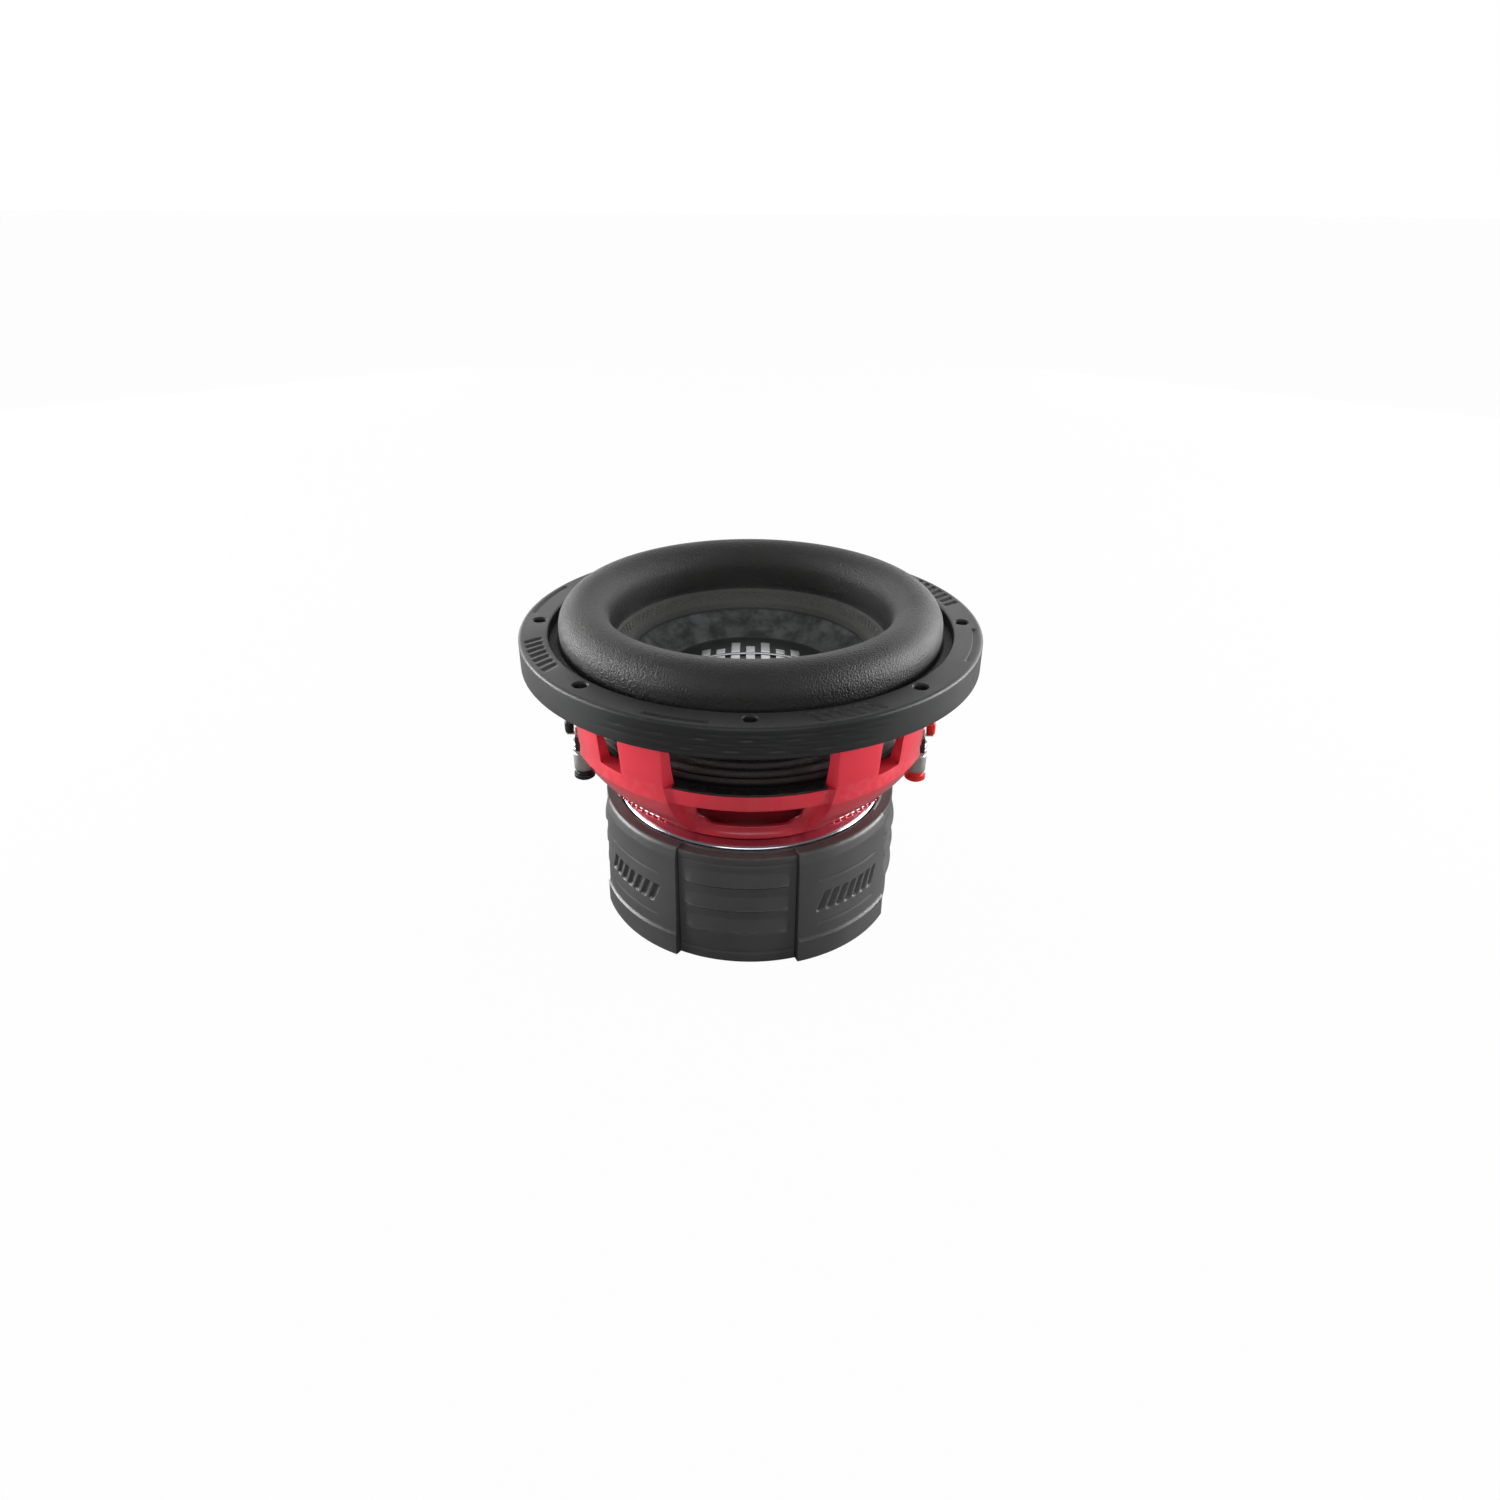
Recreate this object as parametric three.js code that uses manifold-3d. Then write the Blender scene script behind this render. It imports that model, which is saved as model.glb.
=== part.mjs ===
// Eight-inch car subwoofer speaker with a long-throw motor.
// Millimetres, +Z up along the speaker's axis, origin under the rubber boot on the axis.
// Azimuth 0 is the front (-Y) and grows towards +X. Terminals stand at +X and -X.
import * as THREE from 'three';
import { mergeVertices } from 'three/addons/utils/BufferGeometryUtils.js';
import Module from 'manifold-3d';

const wasm = await Module();
wasm.setup();

// ---------------------------------------------------------------- driving dimensions
const bond = 0.3; // gap kept between pieces that are glued, screwed or stacked together
const around = 36; // facets around a full turn

const rim = {
  radius: 111.1, // outside of the mounting gasket
  boltCircle: 102.5,
  boltCount: 8,
  boltHole: 2.9,
  skirt: 2.2, // thickness of the gasket where it wraps the flange
  chamfer: 1.2,
};
const flange = { thickness: 6.5, innerRadius: 91.5 };
const gasket = { thickness: 7.6, innerRadius: 97.2 };
const bowl = {
  height: 71.6, // from the basket's foot to the underside of its flange
  wall: 5.0,
  mouthRadius: 96.0, // outside of the wall just under the flange
  footRadius: 65.5,
  floor: 6.0,
};
const landing = { outerRadius: 88.0, innerRadius: 78.5, top: 39.3, barHeight: 7.1, shelf: 4.1 };
const upperWindow = { halfAngle: 24, slotCentre: 45, slotHalfAngle: 3.6, head: 2.0 };
const lowerWindow = { halfAngle: 16.5, height: 12.5 };

const motor = {
  bootFloor: 1.7,
  plateRadius: 68.2,
  backPlate: 12.0,
  magnetRadius: 72.5,
  sideClearance: 5.0, // around the coil's gap, in the magnets and the basket's floor
  magnet: 18.8,
  topPlate: 11.6,
  ventRadius: 12.0,
  ventMouth: 19.8,
  screenRecess: 1.4,
};
const boot = {
  wall: 1.9,
  panelRise: 3.4, // how far the raised panels stand out at the bottom
  panelTaper: 2.7, // how much further in they are at the top
  height: 62.9,
  lipDrop: 0.9, // the recessed panels end this much lower
  floorBore: 58.0,
  twist: -4.7, // azimuth of the middle of the front ribbed panel
  ribHeights: [19.3, 32.2, 46.0],
  ribWidth: 4.0,
  ribRise: 1.3,
  ribHalfAngle: 18.5,
  seam: 0.9, // width of the gap beside each raised panel
};
const coil = {
  formerRadius: 31.6,
  formerWall: 0.6,
  winding: 2.1,
  windingHeight: 30.0,
  airGap: 1.0, // between the winding and the top plate
  poleGap: 0.8, // between the former and the pole
};
const shortingRing = { height: 10.0, wall: 7.5 };
const cone = {
  outerRadius: 69.4,
  rimDrop: 0.6, // cone rim below the flange's top face
  slope: 0.79, // rise per millimetre of radius
  thickness: 1.6,
  collarHeight: 5.5,
  collarWall: 1.5,
};
const cap = { radius: 43.8, rise: 9.5, thickness: 1.1 };
const emblem = { barCount: 7, barWidth: 4.4, barPitch: 7.4, tallest: 17.0, thickness: 0.6 };
const surround = {
  rollRadius: 12.2,
  rollCentre: 80.0,
  sideHeight: 10.4, // straight sides under the half roll, above the flange
  wall: 1.8,
  footWidth: 6.2,
  footThickness: 2.0,
  innerFootRadius: 58.5,
  innerFoot: 1.2,
};
const spider = { thickness: 0.9, rimWidth: 4.0, rimStep: 1.2, neckWidth: 8.1, waves: 6, swing: 1.75 };
const terminal = {
  radiusOnBasket: 85.5,
  spacing: 14.0,
  postRadius: 5.0,
  postHeight: 16.1,
  bore: 4.3,
  ceiling: 4.0,
  studRadius: 1.5,
  wireHole: 1.7,
  capRadius: 5.4,
  capHeight: 3.0,
  travel: 2.2,
  travelSpare: 0.3,
  stemLength: 10.0,
  springHeight: 4.0,
  belowBar: 8.6, // post's shoulder under the landing bar
};
const block = { shelf: 3.0, halfWidth: 13.0, depth: 11.4, pillarWidth: 7.0, proud: 3.6 };
const lead = { radius: 1.1, sleeveRadius: 2.3, sleeveHeight: 7.4 };
const basketScrew = { count: 4, circle: 54.0, shank: 2.8, head: 4.6, headHeight: 4.5, bite: 8.0 };
const blockScrew = { shank: 1.4, head: 2.7, headHeight: 2.0, bite: 4.4 };
const screwClearance = 0.35;

// ---------------------------------------------------------------- heights that follow
const backPlateBottom = motor.bootFloor + bond;
const backPlateTop = backPlateBottom + motor.backPlate;
const lowerMagnetBottom = backPlateTop + bond;
const upperMagnetBottom = lowerMagnetBottom + motor.magnet + bond;
const upperMagnetTop = upperMagnetBottom + motor.magnet;
const topPlateBottom = upperMagnetTop + bond;
const topPlateTop = topPlateBottom + motor.topPlate;
const basketFoot = topPlateTop + bond;
const landingTop = basketFoot + landing.top;
const barBottom = landingTop - landing.barHeight;
const flangeBottom = basketFoot + bowl.height;
const flangeTop = flangeBottom + flange.thickness;
const flangeRadius = rim.radius - rim.skirt - bond * 0.5;
const surroundFootBottom = flangeTop + bond;
const surroundFootTop = surroundFootBottom + surround.footThickness;
const gasketTop = flangeTop + bond + gasket.thickness;
const rollHeight = flangeTop + surround.sideHeight;
const rollOuter = surround.rollCentre + surround.rollRadius;
const rollInner = surround.rollCentre - surround.rollRadius;
const coneTopAt = (radius) => flangeTop - cone.rimDrop - (cone.outerRadius - radius) * cone.slope;
const collarRadius = coil.formerRadius + bond;
const collarBottom = coneTopAt(collarRadius) - cone.collarHeight;
const spiderLevel = landingTop + bond + spider.thickness;
const spiderRadius = landing.outerRadius - bowl.wall - 0.6; // clear of the legs
const windingMiddle = (topPlateBottom + topPlateTop) / 2;
const plateBore = coil.formerRadius + bond + coil.winding + coil.airGap;
const motorBore = plateBore + motor.sideClearance;
const poleRadius = coil.formerRadius - coil.formerWall - coil.poleGap;
const bootInner = motor.magnetRadius + 0.4;
const bootOuter = bootInner + boot.wall;
const postTop = barBottom - terminal.belowBar;
const postBottom = postTop - terminal.postHeight;
const screwReach = motor.topPlate - 2;

// ---------------------------------------------------------------- helpers
const radians = (degrees) => degrees * Math.PI / 180;
const pointAt = (radius, azimuth) => [
  radius * Math.sin(radians(azimuth)),
  -radius * Math.cos(radians(azimuth)),
];

function solidOf(geometry) {
  const bare = geometry.index ? geometry.toNonIndexed() : geometry.clone();
  bare.deleteAttribute('normal');
  bare.deleteAttribute('uv');
  const merged = mergeVertices(bare, 1e-4);
  const corners = merged.index.array;
  const kept = [];
  for (let i = 0; i < corners.length; i += 3) {
    const [a, b, c] = [corners[i], corners[i + 1], corners[i + 2]];
    if (a !== b && b !== c && c !== a) kept.push(a, b, c);
  }
  return new wasm.Manifold(new wasm.Mesh({
    numProp: 3,
    vertProperties: new Float32Array(merged.attributes.position.array),
    triVerts: new Uint32Array(kept),
  }));
}

function geometryOf(solid) {
  const mesh = solid.getMesh();
  const geometry = new THREE.BufferGeometry();
  geometry.setAttribute('position', new THREE.BufferAttribute(mesh.vertProperties, 3));
  geometry.setIndex(new THREE.BufferAttribute(mesh.triVerts, 1));
  geometry.computeVertexNormals();
  return geometry;
}

// A closed outline of [radius, height] points turned about the axis.
function turned(outline, facets = around) {
  let area = 0;
  outline.forEach(([r, z], i) => {
    const [nextR, nextZ] = outline[(i + 1) % outline.length];
    area += r * nextZ - nextR * z;
  });
  const loop = area > 0 ? [...outline] : [...outline].reverse();
  loop.push(loop[0]);
  const points = loop.map(([r, z]) => new THREE.Vector2(r, z));
  return solidOf(new THREE.LatheGeometry(points, facets).rotateX(Math.PI / 2));
}

function ring(inner, outer, low, high, facets = around) {
  return turned([[inner, low], [outer, low], [outer, high], [inner, high]], facets);
}

function rod(radius, low, high, x = 0, y = 0, facets = 16) {
  const cylinder = new THREE.CylinderGeometry(radius, radius, high - low, facets);
  return solidOf(cylinder.rotateX(Math.PI / 2).translate(x, y, (low + high) / 2));
}

function crossRod(radius, length, height, facets = 8) {
  const cylinder = new THREE.CylinderGeometry(radius, radius, length, facets);
  return solidOf(cylinder.rotateZ(Math.PI / 2).translate(0, 0, height));
}

function box(lowX, highX, lowY, highY, low, high) {
  const size = new THREE.BoxGeometry(highX - lowX, highY - lowY, high - low);
  return solidOf(size.translate((lowX + highX) / 2, (lowY + highY) / 2, (low + high) / 2));
}

// A flat-ended slice of a disc between two azimuths.
function sector(from, to, low, high, radius) {
  const shape = new THREE.Shape();
  shape.moveTo(0, 0);
  const steps = Math.max(2, Math.ceil((to - from) / 6));
  const reach = radius / Math.cos(radians((to - from) / steps / 2));
  for (let i = 0; i <= steps; i += 1) {
    shape.lineTo(...pointAt(reach, from + (to - from) * i / steps));
  }
  const slab = new THREE.ExtrudeGeometry(shape, { depth: high - low, bevelEnabled: false });
  return solidOf(slab.translate(0, 0, low));
}

function joined(solids) {
  return solids.reduce((whole, piece) => whole.add(piece));
}

function cut(solid, tools) {
  return tools.reduce((rest, tool) => rest.subtract(tool), solid);
}

const finishes = {
  redPaint: { color: 0xb8202c, roughness: 0.3, metalness: 0.1 },
  rubber: { color: 0x2e2f2f, roughness: 0.7, metalness: 0 },
  foam: { color: 0x343535, roughness: 0.85, metalness: 0 },
  fibre: { color: 0x3c3d3e, roughness: 0.9, metalness: 0 },
  capRubber: { color: 0x1c1f1c, roughness: 0.6, metalness: 0 },
  silver: { color: 0xc9cbcd, roughness: 0.35, metalness: 0.8 },
  zinc: { color: 0xb9bec6, roughness: 0.28, metalness: 1 },
  ferrite: { color: 0x3a3a3d, roughness: 0.8, metalness: 0.1 },
  copper: { color: 0xb4683c, roughness: 0.4, metalness: 1 },
  aluminium: { color: 0xb0b3b6, roughness: 0.4, metalness: 1 },
  former: { color: 0x23211f, roughness: 0.5, metalness: 0.2 },
  cloth: { color: 0x151515, roughness: 0.95, metalness: 0 },
  nickel: { color: 0xcfccc6, roughness: 0.2, metalness: 1 },
  blackPlastic: { color: 0x171717, roughness: 0.45, metalness: 0 },
  redPlastic: { color: 0xc2262b, roughness: 0.4, metalness: 0 },
  blackSteel: { color: 0x202124, roughness: 0.4, metalness: 0.9 },
  tinsel: { color: 0xb7a58b, roughness: 0.4, metalness: 0.8 },
};

function piece(name, solid, finish) {
  const mesh = new THREE.Mesh(geometryOf(solid), new THREE.MeshStandardMaterial(finishes[finish]));
  mesh.name = name;
  return mesh;
}

const speaker = new THREE.Group();

// ---------------------------------------------------------------- motor
function makeYoke() {
  const poleTop = topPlateTop;
  const flare = motor.ventMouth - motor.ventRadius;
  const recess = backPlateBottom + motor.screenRecess;
  return turned([
    [motor.ventMouth, backPlateBottom],
    [motor.plateRadius, backPlateBottom],
    [motor.plateRadius, backPlateTop],
    [poleRadius, backPlateTop],
    [poleRadius, poleTop],
    [motor.ventRadius, poleTop],
    [motor.ventRadius, recess + flare],
    [motor.ventMouth, recess],
  ]);
}

function makeTopPlate() {
  const chamfer = 1.2;
  const plate = turned([
    [plateBore, topPlateBottom],
    [motor.plateRadius, topPlateBottom],
    [motor.plateRadius, topPlateTop - chamfer],
    [motor.plateRadius - chamfer, topPlateTop],
    [plateBore, topPlateTop],
  ]);
  return cut(plate, basketScrewHoles(topPlateTop - screwReach, topPlateTop + 1));
}

function makeVentScreen() {
  const low = backPlateBottom + bond;
  const high = backPlateBottom + motor.screenRecess - bond;
  const disc = rod(motor.ventMouth - bond * 2, low, high, 0, 0, 24);
  const holeRows = [[0, 1], [12.0, 8]];
  const holes = [];
  holeRows.forEach(([radius, count]) => {
    for (let i = 0; i < count; i += 1) {
      const [x, y] = pointAt(radius, 360 * i / count);
      holes.push(rod(3.4, low - 1, high + 1, x, y, 6));
    }
  });
  return cut(disc, holes);
}

function raisedPanel(middle) {
  const inset = bootOuter - 1;
  const foot = bootOuter + boot.panelRise;
  const head = foot - boot.panelTaper;
  const solid = turned([
    [inset, 0],
    [foot, 0],
    [foot, 12],
    [foot - 0.7, 14],
    [head + 0.9, boot.height - 6],
    [head, boot.height - 1.4],
    [head - 1.1, boot.height],
    [motor.plateRadius + 1.5, boot.height],
    [motor.plateRadius + 1.5, boot.height - boot.lipDrop - 1],
    [inset, boot.height - boot.lipDrop - 1],
  ]);
  const seamAngle = boot.seam / bootOuter * 180 / Math.PI / 2;
  return solid.intersect(sector(
    middle - 22.5 + seamAngle, middle + 22.5 - seamAngle, -1, boot.height + 1, foot + 5,
  ));
}

function makeBoot() {
  const top = boot.height - boot.lipDrop;
  const lipInner = motor.plateRadius + 0.4;
  const shell = turned([
    [boot.floorBore, 0],
    [bootOuter, 0],
    [bootOuter, top],
    [lipInner, top],
    [lipInner, upperMagnetTop + bond],
    [bootInner, upperMagnetTop + bond],
    [bootInner, backPlateTop - bond],
    [lipInner, backPlateTop - bond],
    [lipInner, motor.bootFloor],
    [boot.floorBore, motor.bootFloor],
  ]);
  const panels = [];
  for (let quarter = 0; quarter < 4; quarter += 1) {
    const ribbed = boot.twist + 90 * quarter;
    panels.push(raisedPanel(ribbed + 45));
    boot.ribHeights.forEach((height) => {
      const rib = ring(
        bootOuter - 1, bootOuter + boot.ribRise, height, height + boot.ribWidth,
      );
      panels.push(rib.intersect(sector(
        ribbed - boot.ribHalfAngle, ribbed + boot.ribHalfAngle, 0, boot.height, bootOuter + 4,
      )));
    });
  }
  return joined([shell, ...panels]);
}

speaker.add(
  piece('magnet_boot', makeBoot(), 'rubber'),
  piece('pole_and_back_plate', makeYoke(), 'zinc'),
  piece('vent_screen', makeVentScreen(), 'blackSteel'),
  piece('shorting_ring', ring(
    poleRadius + bond, poleRadius + bond + shortingRing.wall,
    lowerMagnetBottom, lowerMagnetBottom + shortingRing.height,
  ), 'aluminium'),
  piece('lower_magnet', ring(
    motorBore, motor.magnetRadius, lowerMagnetBottom, lowerMagnetBottom + motor.magnet,
  ), 'ferrite'),
  piece('upper_magnet', ring(
    motorBore, motor.magnetRadius, upperMagnetBottom, upperMagnetTop,
  ), 'ferrite'),
  piece('top_plate', makeTopPlate(), 'zinc'),
);

// ---------------------------------------------------------------- basket and rim
function basketScrewHoles(low, high) {
  const holes = [];
  for (let i = 0; i < basketScrew.count; i += 1) {
    const [x, y] = pointAt(basketScrew.circle, 45 + 360 * i / basketScrew.count);
    holes.push(rod(basketScrew.shank + screwClearance, low, high, x, y, 12));
  }
  return holes;
}

function boltHoles(low, high) {
  const holes = [];
  for (let i = 0; i < rim.boltCount; i += 1) {
    const [x, y] = pointAt(rim.boltCircle, 360 * i / rim.boltCount);
    holes.push(rod(rim.boltHole, low, high, x, y, 12));
  }
  return holes;
}

function bowlOutline() {
  const rise = flangeBottom - landingTop;
  const drop = barBottom - basketFoot;
  const spread = landing.outerRadius - bowl.footRadius;
  const lowerBowl = new THREE.SplineCurve([
    new THREE.Vector2(bowl.footRadius, basketFoot + 0.09 * drop),
    new THREE.Vector2(bowl.footRadius + 0.4 * spread, basketFoot + 0.36 * drop),
    new THREE.Vector2(bowl.footRadius + 0.72 * spread, basketFoot + 0.64 * drop),
    new THREE.Vector2(landing.outerRadius, barBottom),
  ]).getPoints(5);
  const flare = bowl.mouthRadius - landing.outerRadius;
  const upperBowl = new THREE.SplineCurve([
    new THREE.Vector2(landing.outerRadius, landingTop),
    new THREE.Vector2(landing.outerRadius + 0.32 * flare, landingTop + 0.36 * rise),
    new THREE.Vector2(landing.outerRadius + 0.5 * flare, landingTop + 0.66 * rise),
    new THREE.Vector2(bowl.mouthRadius, flangeBottom - 1.5),
  ]).getPoints(3);
  return [...lowerBowl, ...upperBowl].map((point) => [point.x, point.y]);
}

function makeBasket() {
  const outer = bowlOutline();
  const inwards = ([r, z]) => [r - bowl.wall, z];
  const innerWall = outer.filter(([, z]) => z > basketFoot + bowl.floor + 3).map(inwards);
  const innerLower = innerWall.filter(([, z]) => z <= barBottom).reverse();
  const innerUpper = innerWall.filter(([, z]) => z >= landingTop).reverse();
  const [lastInner] = innerLower.slice(-1);
  const shell = turned([
    [motorBore, basketFoot],
    [bowl.footRadius - 2, basketFoot],
    ...outer,
    [bowl.mouthRadius + 1.5, flangeBottom],
    [flangeRadius, flangeBottom],
    [flangeRadius, flangeTop],
    [flange.innerRadius, flangeTop],
    ...innerUpper,
    [landing.innerRadius, landingTop],
    [landing.innerRadius, landingTop - landing.shelf],
    [landing.outerRadius - bowl.wall, landingTop - landing.shelf],
    ...innerLower,
    [lastInner[0] - 6, basketFoot + bowl.floor],
    [motorBore, basketFoot + bowl.floor],
  ]);
  const far = rim.radius;
  const windows = [];
  for (let quarter = 0; quarter < 4; quarter += 1) {
    const front = 90 * quarter;
    const wide = upperWindow.halfAngle;
    const head = flangeBottom - upperWindow.head;
    windows.push(sector(front - wide, front + wide, landingTop, head, far));
    const slot = front + upperWindow.slotCentre;
    const narrow = upperWindow.slotHalfAngle;
    windows.push(sector(slot - narrow, slot + narrow, landingTop, head, far));
    const low = lowerWindow.halfAngle;
    windows.push(sector(front - low, front + low, barBottom - lowerWindow.height, barBottom, far));
  }
  const holeRing = [...boltHoles(flangeBottom - 1, flangeTop + 1)];
  const screwHoles = basketScrewHoles(basketFoot - 1, basketFoot + bowl.floor + 1);
  return cut(shell, [
    ...windows, ...holeRing, ...screwHoles, ...terminalPockets(), ...blockScrewHoles(),
  ]);
}

function makeGasket() {
  const step = surround.footWidth + rollOuter + bond;
  const chamfer = rim.chamfer;
  const shell = turned([
    [gasket.innerRadius, surroundFootTop + bond],
    [step, surroundFootTop + bond],
    [step, flangeTop + bond],
    [flangeRadius + bond, flangeTop + bond],
    [flangeRadius + bond, flangeBottom],
    [rim.radius, flangeBottom],
    [rim.radius, gasketTop - chamfer],
    [rim.radius - chamfer, gasketTop],
    [gasket.innerRadius + chamfer, gasketTop],
    [gasket.innerRadius, gasketTop - chamfer],
  ]);
  return cut(shell, boltHoles(flangeTop - 1, gasketTop + 1));
}

function makeBasketScrew() {
  const seat = basketFoot + bowl.floor + bond;
  const socket = rod(2.2, seat + basketScrew.headHeight - 2.6, seat + basketScrew.headHeight + 1, 0, 0, 6);
  const shank = rod(basketScrew.shank, topPlateTop - basketScrew.bite, seat + 0.5, 0, 0, 12);
  const head = rod(basketScrew.head, seat, seat + basketScrew.headHeight, 0, 0, 16);
  return cut(head.add(shank), [socket]);
}

// ---------------------------------------------------------------- moving cone assembly
function makeCone() {
  const neck = collarRadius + cone.collarWall;
  const under = (radius) => coneTopAt(radius) - cone.thickness;
  return turned([
    [collarRadius, collarBottom],
    [neck, collarBottom],
    [neck, under(neck)],
    [cone.outerRadius, under(cone.outerRadius)],
    [cone.outerRadius, coneTopAt(cone.outerRadius)],
    [collarRadius, coneTopAt(collarRadius)],
  ]);
}

function domePoints(radius, rise, base, steps) {
  const sphere = (radius * radius + rise * rise) / (2 * rise);
  const centre = base + rise - sphere;
  const points = [];
  for (let i = 0; i <= steps; i += 1) {
    const r = radius * (1 - i / steps);
    points.push([r, centre + Math.sqrt(sphere * sphere - r * r)]);
  }
  return points;
}

const capBase = coneTopAt(cap.radius) + bond + cap.thickness;

function domeShell(radius, rise, base, thickness, steps, facets = around) {
  const top = domePoints(radius, rise, base, steps);
  const bottom = domePoints(radius, rise, base - thickness, steps).reverse();
  bottom[0] = [0, bottom[0][1]];
  return turned([...bottom, ...top], facets);
}

function makeEmblem() {
  const shell = domeShell(
    emblem.tallest * 2, domeHeightAt(emblem.tallest * 2),
    capBase + cap.rise - domeHeightAt(emblem.tallest * 2) + bond + emblem.thickness,
    emblem.thickness, 3, 24,
  );
  const low = capBase - 5;
  const high = capBase + cap.rise + 5;
  const bars = [];
  const middle = (emblem.barCount - 1) / 2;
  for (let i = 0; i < emblem.barCount; i += 1) {
    const x = (i - middle) * emblem.barPitch;
    const share = i % 2 === 0 ? 1 : 0.55;
    const half = emblem.tallest * share * Math.cos(radians(Math.abs(i - middle) * 18));
    bars.push(box(x - emblem.barWidth / 2, x + emblem.barWidth / 2, -half, half, low, high));
  }
  const reach = middle * emblem.barPitch;
  const spine = box(-reach, reach, -1.1, 1.1, low, high);
  return shell.intersect(joined([spine, ...bars]));
}

function domeHeightAt(radius) {
  const sphere = (cap.radius ** 2 + cap.rise ** 2) / (2 * cap.rise);
  return sphere - Math.sqrt(sphere * sphere - radius * radius);
}

function makeSurround() {
  const arc = (radius, from, to, steps) => {
    const points = [];
    for (let i = 0; i <= steps; i += 1) {
      const angle = radians(from + (to - from) * i / steps);
      points.push([
        surround.rollCentre + radius * Math.cos(angle), rollHeight + radius * Math.sin(angle),
      ]);
    }
    return points;
  };
  const inner = surround.rollRadius - surround.wall;
  const footUnder = (radius) => coneTopAt(radius) + bond;
  const footTop = (radius) => footUnder(radius) + surround.innerFoot;
  return turned([
    [surround.innerFootRadius, footUnder(surround.innerFootRadius)],
    [surround.innerFootRadius, footTop(surround.innerFootRadius)],
    [rollInner, footTop(rollInner)],
    ...arc(surround.rollRadius, 180, 0, 8),
    [rollOuter, surroundFootTop],
    [rollOuter + surround.footWidth, surroundFootTop],
    [rollOuter + surround.footWidth, surroundFootBottom],
    [rollOuter - surround.wall, surroundFootBottom],
    ...arc(inner, 0, 180, 6),
    [rollInner + surround.wall, footUnder(rollInner + surround.wall)],
  ]);
}

function makeSpider() {
  const upper = [[coil.formerRadius + bond, spiderLevel]];
  const firstCrest = coil.formerRadius + spider.neckWidth;
  const lastCrest = spiderRadius - spider.rimWidth - spider.rimStep;
  const pitch = (lastCrest - firstCrest) / (spider.waves - 1);
  const middle = spiderLevel + 0.6;
  for (let i = 0; i < spider.waves; i += 1) {
    const crest = firstCrest + pitch * i;
    upper.push([crest - pitch / 2, middle - spider.swing]);
    upper.push([crest, middle + spider.swing]);
  }
  upper.push([spiderRadius - spider.rimWidth + 1.6, spiderLevel]);
  upper.push([spiderRadius, spiderLevel]);
  const lower = upper.map(([r, z]) => [r, z - spider.thickness]).reverse();
  return turned([...upper, ...lower], 30);
}

const windingLow = windingMiddle - coil.windingHeight / 2;
const formerTop = coneTopAt(collarRadius) + 2;
speaker.add(
  piece('voice_coil_former', ring(
    coil.formerRadius - coil.formerWall, coil.formerRadius, windingLow - 2, formerTop,
  ), 'former'),
  piece('voice_coil_winding', ring(
    coil.formerRadius + bond, coil.formerRadius + bond + coil.winding,
    windingLow, windingLow + coil.windingHeight,
  ), 'copper'),
  piece('cone', makeCone(), 'fibre'),
  piece('dust_cap', domeShell(cap.radius, cap.rise, capBase, cap.thickness, 4), 'capRubber'),
  piece('cap_emblem', makeEmblem(), 'silver'),
  piece('surround', makeSurround(), 'foam'),
  piece('spider', makeSpider(), 'cloth'),
);

// ---------------------------------------------------------------- terminals
// One side is drawn at the front (-Y) and turned to +X or -X.
const postPlaces = [-terminal.spacing / 2, terminal.spacing / 2];
const sideTurns = { left: -Math.PI / 2, right: Math.PI / 2 };
const blockScrewX = block.halfWidth + block.pillarWidth / 2;
const blockScrewY = -(landing.outerRadius - bowl.wall);
const shelfBottom = postTop + bond;
const shelfTop = shelfBottom + block.shelf;
const lugLevel = shelfTop + bond;
const lugThickness = 0.6;
const nutLevel = lugLevel + lugThickness + bond;
const nutHeight = 2.4;
const nutRadius = 3.15;
const sleeveY = -(terminal.radiusOnBasket + nutRadius + lead.sleeveRadius + 0.5);

function turnedToSide(solid, side) {
  return solid.rotate([0, 0, side === 'left' ? -90 : 90]);
}

function terminalPockets() {
  const pockets = [];
  ['left', 'right'].forEach((side) => {
    postPlaces.forEach((x) => {
      const pocket = rod(
        terminal.capRadius + 0.5, basketFoot + 1, barBottom, x, -terminal.radiusOnBasket,
      );
      pockets.push(turnedToSide(pocket, side));
    });
  });
  return pockets;
}

function blockScrewHoles() {
  const holes = [];
  ['left', 'right'].forEach((side) => {
    [-blockScrewX, blockScrewX].forEach((x) => {
      const hole = rod(
        blockScrew.shank + screwClearance, barBottom - 1, barBottom + blockScrew.bite + 0.6,
        x, blockScrewY, 10,
      );
      holes.push(turnedToSide(hole, side));
    });
  });
  return holes;
}

function makeBlock() {
  const front = -(terminal.radiusOnBasket + terminal.postRadius);
  const back = front + block.depth;
  const outerX = block.halfWidth + block.pillarWidth;
  const shelf = box(-outerX, outerX, front, back, shelfBottom, shelfTop);
  const pillars = [-1, 1].map((sign) => {
    const [a, b] = [sign * block.halfWidth, sign * outerX].sort((p, q) => p - q);
    return box(a, b, blockScrewY - 3.5, back, shelfBottom, barBottom - bond);
  });
  const holes = postPlaces.map((x) => rod(
    terminal.studRadius + bond, shelfBottom - 1, shelfTop + 1, x, -terminal.radiusOnBasket, 12,
  ));
  const screwHoles = [-blockScrewX, blockScrewX].map((x) => rod(
    blockScrew.shank + screwClearance, shelfBottom - 1, barBottom + 1, x, blockScrewY, 10,
  ));
  const round = rod(terminal.radiusOnBasket + block.proud, shelfBottom - 1, barBottom + 1, 0, 0, 96);
  return cut(joined([shelf, ...pillars]).intersect(round), [...holes, ...screwHoles]);
}

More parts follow.
